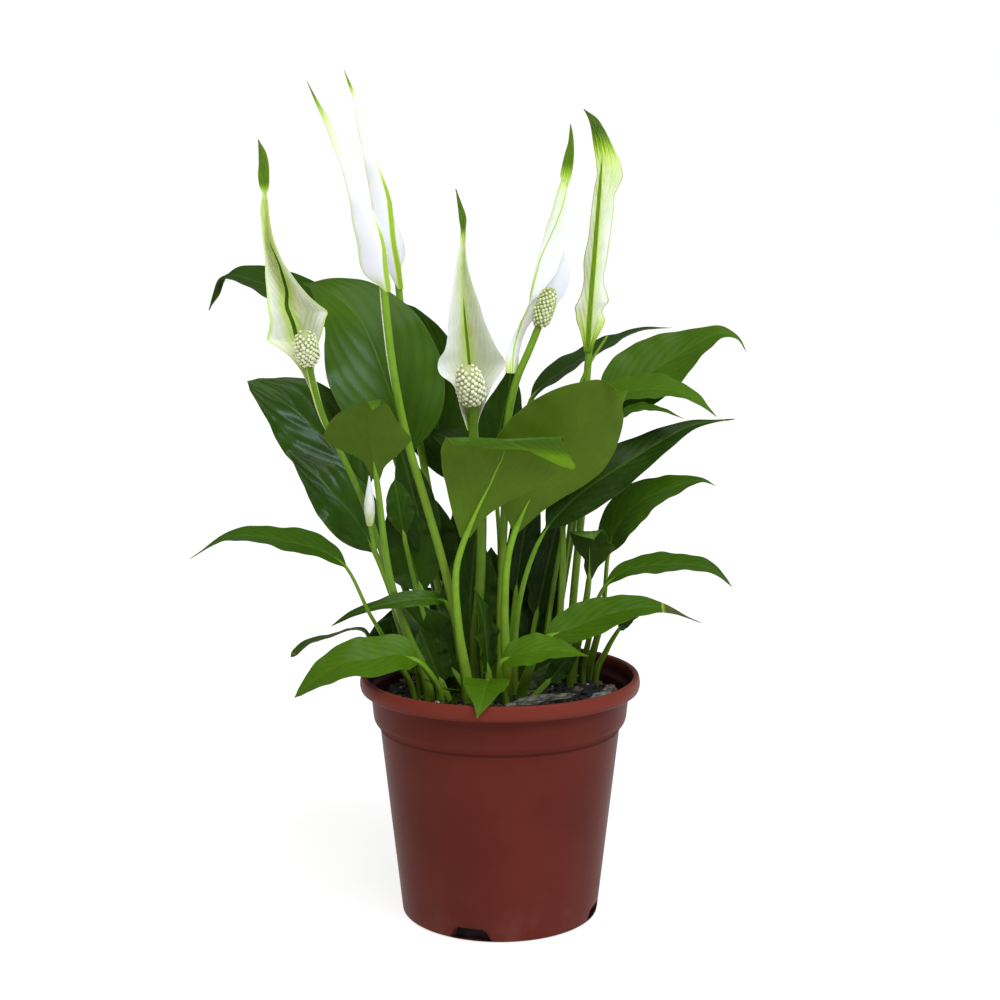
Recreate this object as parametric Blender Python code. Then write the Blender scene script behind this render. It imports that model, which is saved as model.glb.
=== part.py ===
"""Peace lily growing in a 12 cm nursery pot.

Metres, +Z up.  The origin is the middle of the pot's flat underside, and the front of the
plant looks along -Y.  Every leaf, flower stalk, spathe (the white sail) and spadix (the
knobbly spike) is its own closed solid, and each stalk is rooted in a pocket of the soil.

Routes below are lists of points in millimetres that follow a leaf or a stalk from the
soil to its tip.  Compass angles are in degrees: 0 is +X, 90 is +Y, away from the front.
"""
import math

import bmesh
import bpy
from mathutils import Vector

MM = 0.001

# ---- driving dimensions of the pot, millimetres ----
POT_HEIGHT = 104.0
LIP_RADIUS = 60.0
LIP_DEPTH = 6.5
LIP_ROUND = 1.4            # rounding of the lip's lower and upper corners
LIP_WALL = 3.2             # the rolled lip is thicker than the wall
BASE_RADIUS = 42.4
BASE_ROUND = 0.8
WALL_TAPER = 0.11          # growth of the wall's radius for each millimetre of height
COLLAR_BOTTOM = 81.5       # where the plain wall steps out to the collar
COLLAR_STEP = 2.4
COLLAR_SLOPE = 3.0         # height over which the wall steps out
WALL = 1.6
FLOOR = 2.0
POT_SIDES = 48
NOTCH_ANGLES = (-107, -17, 73, 163)
NOTCH_HEIGHT = 6.0
NOTCH_WIDTH = (17.0, 14.5)  # at the underside and at the notch's top
NOTCH_DEPTH = 8.0
CUT_OVERRUN = 1.0          # how far a cutter stands out of the solid it cuts

# ---- driving dimensions of the soil and the plant, millimetres ----
SOIL_TOP = 95.0
SOIL_CROWN = 49.0          # radius of the level middle of the soil
SOIL_DROP = 2.0            # how much lower the soil is at the wall
ROOT_DEPTH = 9.0
ROOT_LEAD = 1.0            # a stalk runs straight up this far above the soil
POCKET_SIDES = 10
GAP = 0.3                  # clear space between neighbours
SHEET = 0.8                # thickness of a leaf blade and of a spathe
MIDRIB = 0.9               # how far the midrib stands out below a blade
KEEL_WIDTH = 0.9
TIP_WIDTH = 0.5
STEM_SIDES = 6
STALK_SIDES = 8
BLADE_STATIONS = 11


def clear_scene():
    for old in list(bpy.data.objects):
        bpy.data.objects.remove(old, do_unlink=True)


def material(name, colour, roughness):
    """A Principled material with one plain colour."""
    mat = bpy.data.materials.new(name)
    mat.use_nodes = True
    shader = mat.node_tree.nodes["Principled BSDF"]
    shader.inputs["Base Color"].default_value = (*colour, 1.0)
    shader.inputs["Roughness"].default_value = roughness
    shader.inputs["Metallic"].default_value = 0.0
    mat.diffuse_color = (*colour, 1.0)
    return mat


def mesh_from(name, bm):
    """Turns a bmesh into a mesh whose faces point outwards."""
    bmesh.ops.recalc_face_normals(bm, faces=bm.faces)
    mesh = bpy.data.meshes.new(name)
    bm.to_mesh(mesh)
    bm.free()
    return mesh


def add_object(name, mesh, mat, angle=50):
    mesh.materials.append(mat)
    mesh.shade_smooth()
    mesh.set_sharp_from_angle(angle=math.radians(angle))
    obj = bpy.data.objects.new(name, mesh)
    bpy.context.collection.objects.link(obj)
    return obj


# ---- routes and lofting ----

def compass(angle):
    """Level unit vector that points along a compass angle."""
    return Vector((math.cos(math.radians(angle)), math.sin(math.radians(angle)), 0.0))


def smooth_route(points, start_direction):
    """Catmull-Rom curve through the points: returns place(distance) and the knots' distances."""
    points = [Vector(p) for p in points]
    knots = [0.0]
    for a, b in zip(points, points[1:]):
        knots.append(knots[-1] + (b - a).length)
    last = len(points) - 1
    slopes = [start_direction.normalized()]
    for i in range(1, last + 1):
        after = min(i + 1, last)
        slopes.append((points[after] - points[i - 1]) / (knots[after] - knots[i - 1]))

    def place(distance):
        i = max(k for k in range(last) if knots[k] <= distance or k == 0)
        span = knots[i + 1] - knots[i]
        t = min(max((distance - knots[i]) / span, 0.0), 1.0)
        near, far = points[i], points[i + 1]
        pull = near * (2 * t**3 - 3 * t**2 + 1) + far * (3 * t**2 - 2 * t**3)
        lead = slopes[i] * (t**3 - 2 * t**2 + t) + slopes[i + 1] * (t**3 - t**2)
        return pull + lead * span

    return place, knots


def heading(place, distance, end, step=0.2):
    """Unit direction of a route at one distance along it."""
    return (place(min(distance + step, end)) - place(max(distance - step, 0.0))).normalized()


def cross_axes(direction, lean, roll=0):
    """Sideways and face axes of a blade that leans along a compass angle, rolled about its run."""
    level = Vector((lean.y, -lean.x, 0.0))
    side = (level - direction * level.dot(direction)).normalized()
    face = side.cross(direction)
    c, s = math.cos(math.radians(roll)), math.sin(math.radians(roll))
    return side * c + face * s, face * c - side * s


def loft(name, rings, mat):
    """Closed solid through rings of points, with a flat cap at each end."""
    bm = bmesh.new()
    loops = [[bm.verts.new(p * MM) for p in ring] for ring in rings]
    count = len(loops[0])
    for low, high in zip(loops, loops[1:]):
        for i in range(count):
            j = (i + 1) % count
            bm.faces.new((low[i], low[j], high[j], high[i]))
    bm.faces.new(loops[0][::-1])
    bm.faces.new(loops[-1])
    bmesh.ops.triangulate(bm, faces=bm.faces)
    return add_object(name, mesh_from(name, bm), mat)


def round_section(sides, radius=1.0):
    turn = 2 * math.pi / sides
    return [(radius * math.cos(i * turn), radius * math.sin(i * turn)) for i in range(sides)]


def ring_at(centre, axes, section):
    side, face = axes
    return [centre + side * x + face * y for x, y in section]


def foot_ring(root, axes, section):
    """Ring at the bottom of a stalk's straight foot, down in the soil."""
    return ring_at(Vector((*root, SOIL_TOP - ROOT_DEPTH)), axes, section)


def rooted_route(root, points):
    """Route of a stalk that leaves its straight foot just above the soil."""
    return smooth_route([(*root, SOIL_TOP + ROOT_LEAD), *points], Vector((0, 0, 1)))


# ---- leaves ----

def blade_outline(t, swell, taper):
    """Half-width of an ovate blade, 0..1, at the part t of its length."""
    if t <= 0.0 or t >= 1.0:
        return 0.0
    peak = swell / (swell + taper)
    return (t / peak) ** swell * ((1 - t) / (1 - peak)) ** taper


def blade_section(half, fold):
    """Six corners of a thin blade, folded up along its midrib."""
    keel = min(0.3 * half, KEEL_WIDTH)
    inner, lift = 0.5 * half, 0.42 * fold * half + SHEET / 2
    return [(half, fold * half), (inner, lift), (-inner, lift), (-half, fold * half),
            (-keel, -MIDRIB), (keel, -MIDRIB)]


def leaf(name, root, petiole, blade, width, leans, *, roll=(0, 0), stem=(1.8, 1.2), shape=(0.7, 1.25),
         fold=0.16):
    """A petiole that rises from the soil and opens into one blade at the petiole's last point."""
    ROOTS.append((root, stem[0]))
    place, knots = rooted_route(root, [*petiole, *blade])
    start, end = knots[len(petiole)], knots[-1]
    lean = compass(leans)
    stem_stations = 2 + 2 * len(petiole)

    level_axes = cross_axes(Vector((0, 0, 1)), lean)
    rings = [foot_ring(root, level_axes, round_section(STEM_SIDES, stem[0]))]
    for i in range(stem_stations):
        distance = start * i / stem_stations
        radius = stem[0] + (stem[1] - stem[0]) * i / stem_stations
        axes = cross_axes(heading(place, distance, end), lean, roll[0])
        rings.append(ring_at(place(distance), axes, round_section(STEM_SIDES, radius)))
    rings.append(ring_at(place(start), cross_axes(heading(place, start, end), lean, roll[0]),
                         round_section(STEM_SIDES, stem[1])))
    for i in range(1, BLADE_STATIONS + 1):
        t = i / BLADE_STATIONS
        distance = start + (end - start) * t
        axes = cross_axes(heading(place, distance, end), lean, roll[0] + (roll[1] - roll[0]) * t)
        half = max(width / 2 * blade_outline(t, *shape), TIP_WIDTH)
        rings.append(ring_at(place(distance), axes, blade_section(half, fold)))
    return loft(name, rings, LEAF_GREEN)


# ---- flowers ----

def stalk(name, root, route, radius, mat):
    """Round stalk.  Returns its route and how long it is, so a flower can be set on it."""
    ROOTS.append((root, radius[0]))
    place, knots = rooted_route(root, route)
    end = knots[-1]
    stations = 2 * len(route)
    towards_back = compass(90)
    level_axes = cross_axes(Vector((0, 0, 1)), towards_back)
    rings = [foot_ring(root, level_axes, round_section(STALK_SIDES, radius[0]))]
    for i in range(stations + 1):
        distance = end * i / stations
        wide = radius[0] + (radius[1] - radius[0]) * i / stations
        axes = cross_axes(heading(place, distance, end), towards_back)
        rings.append(ring_at(place(distance), axes, round_section(STALK_SIDES, wide)))
    loft(name, rings, mat)
    return place, end


def spathe_section(half, curl):
    """Thin crescent: eight corners on two arcs that meet at the two margins."""
    bend = math.radians(curl)
    radius = half / bend
    angles = [bend * step / 2 for step in (-2, -1, 0, 1, 2)]
    outer = [(radius * math.sin(a), radius * (1 - math.cos(a))) for a in angles]
    inner_radius = max(radius - SHEET, 0.3 * radius)
    inner = [(inner_radius * math.sin(a), radius - inner_radius * math.cos(a)) for a in angles[3:0:-1]]
    return outer + inner


def spathe(name, run, end, route, widths, opens, *, clasp, stalk_radius, curl, roll=(0, 0)):
    """Sail that clasps a stalk below its top and stands behind the spadix.

    widths: the sail's width if pressed flat, at even steps from its seat to its tip.
    opens: compass angle its hollow side faces.  curl: half the arc its section spans, in
    degrees, at the seat, where it is widest, and at the tip.
    """
    lean = compass(opens + 180)
    grip = end - clasp
    up = heading(run, grip, end)
    _, towards_spadix = cross_axes(up, lean)
    seat = run(grip) - towards_spadix * (stalk_radius + 2 * GAP + SHEET / 2)
    place, knots = smooth_route([seat, *route], up)
    last = len(widths) - 1
    widest = widths.index(max(widths)) / last
    rings = []
    for i, width in enumerate(widths):
        t = i / last
        distance = knots[-1] * t
        if t < widest:
            bent = curl[0] + (curl[1] - curl[0]) * t / widest
        else:
            bent = curl[1] + (curl[2] - curl[1]) * (t - widest) / (1 - widest)
        axes = cross_axes(heading(place, distance, knots[-1]), lean, roll[0] + (roll[1] - roll[0]) * t)
        rings.append(ring_at(place(distance), axes, spathe_section(width / 2, bent)))
    return loft(name, rings, SPATHE_WHITE)


# Turned profiles: part of the length, part of the radius.
SPADIX_PROFILE = ((0.0, 0.3), (0.1, 0.62), (0.3, 1.0), (0.6, 1.0), (0.85, 0.8), (1.0, 0.35))
BUD_PROFILE = ((0.0, 0.6), (0.2, 0.95), (0.4, 1.0), (0.65, 0.75), (0.85, 0.42), (1.0, 0.15))


def spike(name, base, tip, radius, profile, mat):
    """Straight turned spike, such as a spadix or a closed bud."""
    run = tip - base
    axes = cross_axes(run.normalized(), compass(90))
    rings = [ring_at(base + run * along, axes, round_section(STALK_SIDES, radius * wide))
             for along, wide in profile]
    return loft(name, rings, mat)


def flower(number, root, route, opens, spathe_route, widths, spadix_tip, *, radius=(2.0, 1.7),
           spadix_radius=5.0, clasp=12, curl=(60, 60, 85), roll=(0, 0)):
    """One flower: stalk, spathe and spadix, each its own solid."""
    run, end = stalk(f"flower_stalk_{number}", root, route, radius, STALK_GREEN)
    spathe(f"spathe_{number}", run, end, spathe_route, widths, opens, clasp=clasp,
           stalk_radius=radius[1], curl=curl, roll=roll)
    base = run(end) + heading(run, end, end) * 2.4 * GAP
    spike(f"spadix_{number}", base, Vector(spadix_tip), spadix_radius, SPADIX_PROFILE, SPADIX_CREAM)


# ---- pot and soil ----

def lathe(name, profile, mat):
    """Turned solid: an outline of (radius, height) corners from axis to axis, swung about Z."""
    bm = bmesh.new()
    low, high = (bm.verts.new((0, 0, profile[k][1] * MM)) for k in (0, -1))
    loops = []
    for k in range(POT_SIDES):
        out = compass(360 * (k + 0.5) / POT_SIDES)
        ring = [bm.verts.new((out * r + Vector((0, 0, z))) * MM) for r, z in profile[1:-1]]
        loops.append([low, *ring, high])
    for here, there in zip(loops, loops[1:] + loops[:1]):
        for i in range(len(profile) - 1):
            corners = dict.fromkeys((here[i], there[i], there[i + 1], here[i + 1]))
            bm.faces.new(list(corners))
    return add_object(name, mesh_from(name, bm), mat)


def wall_radius(z):
    """Outer radius of the tapered wall and of the collar above it."""
    step = COLLAR_STEP if z > COLLAR_BOTTOM else 0.0
    return BASE_RADIUS + WALL_TAPER * z + step


def frustum(bm, ring_low, ring_high):
    """Adds a closed block between two rings of points to a bmesh."""
    low = [bm.verts.new(p * MM) for p in ring_low]
    high = [bm.verts.new(p * MM) for p in ring_high]
    count = len(low)
    bm.faces.new(low[::-1])
    bm.faces.new(high)
    for i in range(count):
        j = (i + 1) % count
        bm.faces.new((low[i], low[j], high[j], high[i]))


def subtract(target, name, bm):
    """Cuts the blocks in a bmesh out of a solid."""
    cutter = bpy.data.objects.new(name, mesh_from(name, bm))
    bpy.context.collection.objects.link(cutter)
    cutter.hide_render = True
    cutter.display_type = "WIRE"
    cut = target.modifiers.new(name, "BOOLEAN")
    cut.operation = "DIFFERENCE"
    cut.solver = "EXACT"
    cut.object = cutter


def build_pot():
    lip_low = POT_HEIGHT - LIP_DEPTH
    collar = COLLAR_BOTTOM + COLLAR_SLOPE
    outside = [
        (BASE_RADIUS - BASE_ROUND, 0),
        (wall_radius(BASE_ROUND), BASE_ROUND),
        (wall_radius(COLLAR_BOTTOM), COLLAR_BOTTOM),
        (wall_radius(collar), collar),
        (wall_radius(lip_low), lip_low),
        (LIP_RADIUS - LIP_ROUND / 2, lip_low),
        (LIP_RADIUS, lip_low + LIP_ROUND),
        (LIP_RADIUS, POT_HEIGHT - LIP_ROUND * 1.5),
        (LIP_RADIUS - LIP_ROUND * 0.8, POT_HEIGHT),
    ]
    inside = [
        (LIP_RADIUS - LIP_WALL + LIP_ROUND * 0.6, POT_HEIGHT),
        (LIP_RADIUS - LIP_WALL, POT_HEIGHT - LIP_ROUND),
        (LIP_RADIUS - LIP_WALL - 0.4, lip_low),
        (wall_radius(collar) - WALL, collar),
        (wall_radius(COLLAR_BOTTOM) - WALL, COLLAR_BOTTOM),
        (wall_radius(FLOOR) - WALL, FLOOR),
    ]
    pot = lathe("pot", [(0, 0), *outside, *inside, (0, FLOOR)], TERRACOTTA_PLASTIC)

    bm = bmesh.new()
    near, far = BASE_RADIUS - NOTCH_DEPTH, BASE_RADIUS + 4 * CUT_OVERRUN
    for angle in NOTCH_ANGLES:
        out, across = compass(angle), compass(angle + 90)
        rings = []
        for z, wide in ((-CUT_OVERRUN, NOTCH_WIDTH[0]), (NOTCH_HEIGHT, NOTCH_WIDTH[1])):
            corners = ((near, -wide / 2), (far, -wide / 2), (far, wide / 2), (near, wide / 2))
            rings.append([out * r + across * w + Vector((0, 0, z)) for r, w in corners])
        frustum(bm, *rings)
    subtract(pot, "drain_notches", bm)


def build_soil():
    """Root ball that fills the pot, with one pocket for the foot of each stalk."""
    low = FLOOR + GAP
    shy = WALL + GAP
    collar = COLLAR_BOTTOM + COLLAR_SLOPE
    edge = SOIL_TOP - SOIL_DROP
    outline = [
        (0, low),
        (wall_radius(low) - shy, low),
        (wall_radius(COLLAR_BOTTOM) - shy, COLLAR_BOTTOM),
        (wall_radius(collar) - shy, collar),
        (wall_radius(collar) - shy, edge),
        (SOIL_CROWN, SOIL_TOP),
        (0, SOIL_TOP),
    ]
    soil = lathe("potting_soil", outline, PEAT)

    bm = bmesh.new()
    axes = (compass(0), compass(90))
    for root, radius in ROOTS:
        clear = (radius + GAP) / math.cos(math.pi / POCKET_SIDES)
        section = round_section(POCKET_SIDES, clear)
        bottom = Vector((*root, SOIL_TOP - ROOT_DEPTH - GAP))
        top = Vector((*root, SOIL_TOP + CUT_OVERRUN))
        frustum(bm, ring_at(bottom, axes, section), ring_at(top, axes, section))
    subtract(soil, "root_pockets", bm)


clear_scene()
TERRACOTTA_PLASTIC = material("terracotta_plastic", (0.30, 0.075, 0.045), 0.42)
PEAT = material("peat", (0.018, 0.014, 0.011), 0.95)
LEAF_GREEN = material("leaf_green", (0.045, 0.13, 0.012), 0.35)
STALK_GREEN = material("stalk_green", (0.20, 0.32, 0.035), 0.4)
SPATHE_WHITE = material("spathe_white", (0.82, 0.84, 0.76), 0.5)
SPADIX_CREAM = material("spadix_cream", (0.72, 0.72, 0.38), 0.6)
ROOTS = []                 # (place on the soil, foot radius) of every stalk, for the soil's pockets

# ---- the leaves, from the back to the front: root, petiole, blade, width, lean ----
leaf("leaf_far_back_left", (-22, 20), [(-33, 34, 147), (-57, 48, 217), (-74, 54, 248)],
     [(-90, 56, 261), (-105, 56, 268), (-117, 55, 271), (-126, 53, 268), (-130, 50, 257)], 30, 180,
     roll=(25, 25), shape=(0.7, 1.5))
leaf("leaf_long_dark", (10, 34), [(10, 42, 145), (11, 46, 186), (14, 50, 217)],
     [(25, 50, 228), (38, 50, 236), (51, 50, 243), (63, 50, 248), (77, 50, 249)], 20, 0, roll=(-25, -5))
leaf("leaf_behind_great", (-17, 26), [(-19, 38, 137), (-22, 46, 181)],
     [(-28, 48, 206), (-33, 52, 232), (-43, 55, 260)], 34, 95, shape=(0.7, 0.8))
leaf("leaf_great", (-20, 12), [(-26, 20, 131), (-33, 22, 166), (-39, 24, 196)],
     [(-49, 27, 225), (-60, 33, 251), (-75, 40, 265), (-89, 48, 273)], 52, 110)
leaf("leaf_back_middle", (-2, 24), [(0, 34, 147), (-2, 40, 186)],
     [(0, 42, 204), (4, 44, 222), (5, 46, 234)], 22, 70)
leaf("leaf_back_right", (24, 27), [(32, 34, 156), (40, 36, 196), (47, 36, 214)],
     [(61, 37, 226), (76, 38, 236), (88, 38, 243), (97, 37, 247), (104, 36, 245), (108, 35, 239)], 33, 0,
     roll=(-60, -30), shape=(0.7, 1.6))
leaf("leaf_shaded_back", (-9, 20), [(-7, 28, 148), (-9, 30, 183)],
     [(-15, 31, 195), (-23, 32, 201), (-34, 36, 205)], 22, 170, roll=(30, 20))
leaf("leaf_striped", (24, 19), [(30, 25, 157), (35, 28, 193), (41, 27, 217)],
     [(54, 24, 222), (69, 20, 223.5), (82, 17, 220.5), (93, 15, 212)], 22, 0, roll=(-25, -25))
leaf("leaf_glossy_left", (-29, 17), [(-40, 22, 131), (-51, 21, 162), (-58, 20, 179)],
     [(-72, 20, 198), (-90, 19, 216), (-109, 21, 227)], 36, 108, shape=(0.75, 0.9))
leaf("leaf_lower_left", (-26, 11), [(-37, 12, 115), (-47, 11, 137), (-54, 8, 155)],
     [(-63, 5, 171), (-76, 4, 186), (-90, 7, 198)], 25, 112, shape=(0.75, 1.1))
leaf("leaf_right_sliver", (19, 13), [(25, 15, 150), (34, 12, 190), (45, 8, 207)],
     [(55, 7, 215), (66, 6, 216), (78, 5, 212)], 13, 0, roll=(-10, -10))
leaf("leaf_shaded_right", (6, -3), [(7, -1, 126), (12, 0, 149), (20, 1, 166)],
     [(35, 4, 181), (55, 7, 194), (69, 11, 202), (81, 14, 208), (91, 15, 210), (101, 16, 211)], 22, 0,
     roll=(-70, -35), shape=(0.7, 1.6))
leaf("leaf_right_upper", (40, 28), [(45, 26, 121), (46, 20, 136), (47, 15, 153)],
     [(51, 14, 165), (61, 13, 176), (77, 12, 183), (87, 11, 185), (92, 10, 183)], 23, 0, roll=(-45, -20))
leaf("leaf_twisted", (31, 12), [(34, 12, 116), (37, 11, 131), (38, 6, 142)],
     [(38, 2, 151), (38, -4, 163), (39, -9, 168), (41, -12, 165)], 23, -100, shape=(1.0, 0.9))
leaf("leaf_right_arching", (36, 17), [(39, 7, 120), (41, 2, 133), (45, -2, 142)],
     [(52, -4, 148), (63, -6, 151), (79, -9, 152), (89, -11, 150), (97, -12, 143)], 15, 0,
     roll=(-25, -20), shape=(0.7, 0.9))
leaf("leaf_low_inner", (42, 20), [(47, 20, 109), (52, 16, 119)],
     [(56, 13, 125), (66, 9, 132)], 10, 0, roll=(-30, -30), stem=(1.3, 0.8))
leaf("leaf_broad_olive", (3, -10), [(2, -10, 133), (4, -9, 158), (11, -9, 177)],
     [(22, -11, 194), (34, -14, 211), (43, -17, 222), (49, -19, 226), (51, -21, 225)], 49, -82,
     shape=(0.65, 0.75))
leaf("leaf_folded_olive", (-13, -21), [(-17, -20, 126), (-18, -20, 152), (-12, -22, 171)],
     [(-5, -24, 186), (1, -28, 197), (8, -36, 203), (18, -46, 203), (25, -51, 198)], 41, -85)
leaf("leaf_cupped_left", (-30, -11), [(-40, -12, 126), (-46, -17, 150), (-50, -25, 189)],
     [(-52, -32, 207), (-52, -40, 222), (-48, -46, 224), (-47, -49, 220)], 36, -95)
leaf("leaf_left_arching", (-36, -14), [(-42, -13, 110), (-47, -16, 120), (-54, -27, 136), (-63, -26, 154)],
     [(-73, -27, 161), (-88, -27, 165), (-102, -27, 167), (-112, -26, 166), (-127, -25, 157)], 19, 180,
     roll=(20, 20), stem=(1.4, 0.9), shape=(0.7, 1.6))
leaf("leaf_curled_left", (-28, 5), [(-41, 6, 104), (-54, 4, 115)],
     [(-58, 3, 121), (-64, 2, 122), (-73, 0, 119), (-82, -2, 117), (-89, -3, 111)], 13, 180,
     roll=(10, -50), stem=(1.2, 0.8))
leaf("leaf_narrow_left", (-17, 0), [(-19, -3, 123), (-23, -9, 136)],
     [(-31, -16, 139), (-44, -20, 138), (-59, -20, 134), (-70, -20, 128)], 11, 180,
     roll=(55, 40), stem=(1.3, 0.9))
leaf("leaf_over_rim_left", (-25, -16), [(-28, -20, 106), (-34, -24, 114)],
     [(-42, -28, 118), (-52, -32, 117), (-63, -34, 116), (-75, -34, 109), (-84, -33, 101)], 21, 180,
     roll=(38, 38), stem=(1.4, 1.0), shape=(0.5, 0.9))
leaf("leaf_low_right", (9, -17), [(13, -17, 111), (19, -17, 122)],
     [(31, -17, 127), (47, -17, 133), (65, -15, 135), (84, -13, 128)], 21, 0, roll=(-40, -20),
     shape=(0.7, 1.7))
leaf("leaf_low_front", (2, -25), [(0, -26, 107), (1, -28, 115)],
     [(9, -31, 119), (22, -34, 121), (36, -36, 119)], 18, 0, roll=(-35, -20), stem=(1.5, 1.1))
leaf("leaf_over_rim_front", (-5, -24), [(-5, -26, 106)],
     [(-5, -36, 108), (-6, -47, 108), (-7, -57, 106), (-9, -65, 101)], 19, -90)
leaf("leaf_seedling", (-19, -20), [(-18, -22, 100)],
     [(-20, -25, 102), (-24, -29, 104)], 8, -130, stem=(1.0, 0.8))
leaf("leaf_heart_1", (-26, 27), [(-27, 31, 106)],
     [(-28, 34, 113), (-33, 40, 123), (-37, 44, 133)], 34, 110)
leaf("leaf_heart_2", (-22, 4), [(-29, 8, 120), (-34, 12, 137)],
     [(-38, 15, 150), (-42, 16, 165), (-45, 15, 180)], 14, 95)
leaf("leaf_heart_3", (4, 31), [(2, 36, 110)],
     [(-4, 41, 122), (-4, 45, 135), (-4, 48, 150)], 18, 80)
leaf("leaf_heart_4", (13, 26), [(15, 30, 107)],
     [(18, 33, 120), (19, 37, 134), (21, 40, 148)], 12, 60)
leaf("leaf_heart_5", (-11, 8), [(-12, 12, 111)],
     [(-13, 14, 128), (-12, 16, 145), (-10, 16, 165)], 16, 90)
leaf("leaf_heart_6", (-4, -10), [(-5, -8, 106)],
     [(-6, -7, 119), (-8, -7, 132), (-11, -7, 142)], 10, 150)
stalk("leaf_furled", (25, 12), [(27, 9, 151), (27, 8, 190), (32, 5, 222), (38, 4, 236), (45, 4, 247)],
      (1.8, 0.5), LEAF_GREEN)

# ---- the flowers, from the left to the right: root, stalk, opening, spathe, widths, spadix tip ----
flower(1, (-33, 0), [(-43, -1, 124), (-49, -3, 153), (-56, -7, 175), (-64, -10, 195), (-73, -13, 215),
                     (-78, -15, 236)], -73,
       [(-81, -6, 241), (-83, -6, 255), (-90, -8, 270), (-94, -11, 283), (-95, -13, 296), (-95, -13, 308),
        (-97, -15, 326)], (3, 16, 28, 33, 26, 14, 6, 4.5, 2.5, 5.5, 1),
       (-79, -22, 249), spadix_radius=5.2)
flower(2, (-14, -13), [(-17, -14, 121), (-23, -15, 151), (-31, -16, 180), (-38, -17, 205), (-43, -17, 230),
                       (-46, -16, 254), (-48, -14, 277)], 143,
       [(-46, -20, 275), (-47, -22, 286), (-51, -21, 297), (-57, -15, 308), (-65, -10, 322), (-71, -8, 336),
        (-78, -7, 350)], (3, 14, 24, 28, 26, 21, 15, 9, 5, 3, 1),
       (-55, -7, 290), spadix_radius=4.0, curl=(60, 75, 85))
flower(3, (-16, 17), [(-23, 26, 130), (-31, 34, 174), (-39, 42, 217), (-44, 47, 257), (-46, 47, 278)], 125,
       [(-45, 42, 278), (-47, 41, 290), (-48, 42, 303), (-53, 44, 319), (-59, 46, 335), (-63, 48, 348),
        (-68, 48, 361)], (3, 14, 23, 26, 25, 21, 15, 9, 5, 3, 1),
       (-50, 54, 293), spadix_radius=4.0, curl=(60, 75, 85))
flower(4, (-11, 1), [(-11, 2, 117), (-9, 1, 135), (-8, 0, 157), (-8, -1, 178), (-11, -4, 204),
                     (-11, -6, 219)], -85,
       [(-12, 3, 225), (-13, 4, 242), (-14, 2, 259), (-15, 0, 278), (-15, -2, 293), (-18, -5, 307)],
       (3, 10, 25, 33, 27, 18, 12, 8, 3.5, 3.5, 1),
       (-14, -14, 235), spadix_radius=6.0)
flower(5, (0, -2), [(0, 2, 126), (1, 4, 152), (2, 4, 178), (3, 2, 210), (7, 0, 229), (12, -1, 241),
                    (16, -2, 251)], -37,
       [(7, 4, 245), (13, 5, 261), (17, 6, 273), (21, 7, 286), (25, 7, 299), (28, 6, 315), (29, 4, 334)],
       (3, 8, 13, 22, 28, 22, 13, 7, 5.5, 4, 1),
       (21, -4, 267), spadix_radius=4.4, clasp=22, curl=(60, 85, 85))
flower(6, (30, 23), [(32, 26, 126), (34, 26, 150), (36, 23, 175), (36, 17, 203), (37, 15, 227),
                     (38, 15, 243), (38, 15, 252)], 78,
       [(38, 10, 253), (39, 9, 266), (41, 9, 285), (43, 9, 303), (44, 10, 317), (43, 12, 329), (35, 14, 341)],
       (4, 12, 21, 18, 18, 18, 17, 17, 14, 6, 1),
       (41, 16, 267), spadix_radius=3.0, curl=(60, 105, 70))
run, end = stalk("flower_stalk_7", (-34, -8), [(-45, -9, 137), (-51, -11, 154), (-54, -13, 169)],
                 (1.8, 1.4), STALK_GREEN)
spike("flower_bud", run(end) + heading(run, end, end) * 2 * GAP, Vector((-54, -13, 190)), 2.7, BUD_PROFILE,
      SPATHE_WHITE)

build_soil()
build_pot()
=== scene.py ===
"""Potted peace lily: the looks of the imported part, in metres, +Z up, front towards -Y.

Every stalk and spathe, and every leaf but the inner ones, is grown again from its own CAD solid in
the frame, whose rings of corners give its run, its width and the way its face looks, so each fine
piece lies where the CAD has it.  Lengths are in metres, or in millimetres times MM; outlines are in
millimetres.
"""
import math

import bmesh
import bpy
import numpy as np
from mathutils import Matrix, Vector, noise


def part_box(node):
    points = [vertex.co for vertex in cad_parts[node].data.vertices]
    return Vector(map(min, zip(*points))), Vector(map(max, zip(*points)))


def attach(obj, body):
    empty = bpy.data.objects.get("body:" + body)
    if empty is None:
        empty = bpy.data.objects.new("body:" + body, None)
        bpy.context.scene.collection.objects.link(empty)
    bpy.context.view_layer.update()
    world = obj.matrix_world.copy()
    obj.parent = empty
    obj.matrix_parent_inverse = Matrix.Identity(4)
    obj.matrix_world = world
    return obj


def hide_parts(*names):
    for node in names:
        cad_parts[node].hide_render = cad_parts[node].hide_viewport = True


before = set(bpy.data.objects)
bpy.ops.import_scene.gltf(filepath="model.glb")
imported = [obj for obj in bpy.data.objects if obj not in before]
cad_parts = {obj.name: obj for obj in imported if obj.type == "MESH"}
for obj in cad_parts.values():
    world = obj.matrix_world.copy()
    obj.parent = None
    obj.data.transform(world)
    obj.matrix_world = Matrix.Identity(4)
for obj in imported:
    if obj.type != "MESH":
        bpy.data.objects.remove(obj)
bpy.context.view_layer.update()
MM = 0.001


# ---- the studio: a plain white floor, soft daylight from above, the camera ----
# The floor is a matt painted board, wide enough to reach the white haze behind it.  Broad
# daylight falls from above and in front, and one cool box at the right gives the leaves their sheen.

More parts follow.
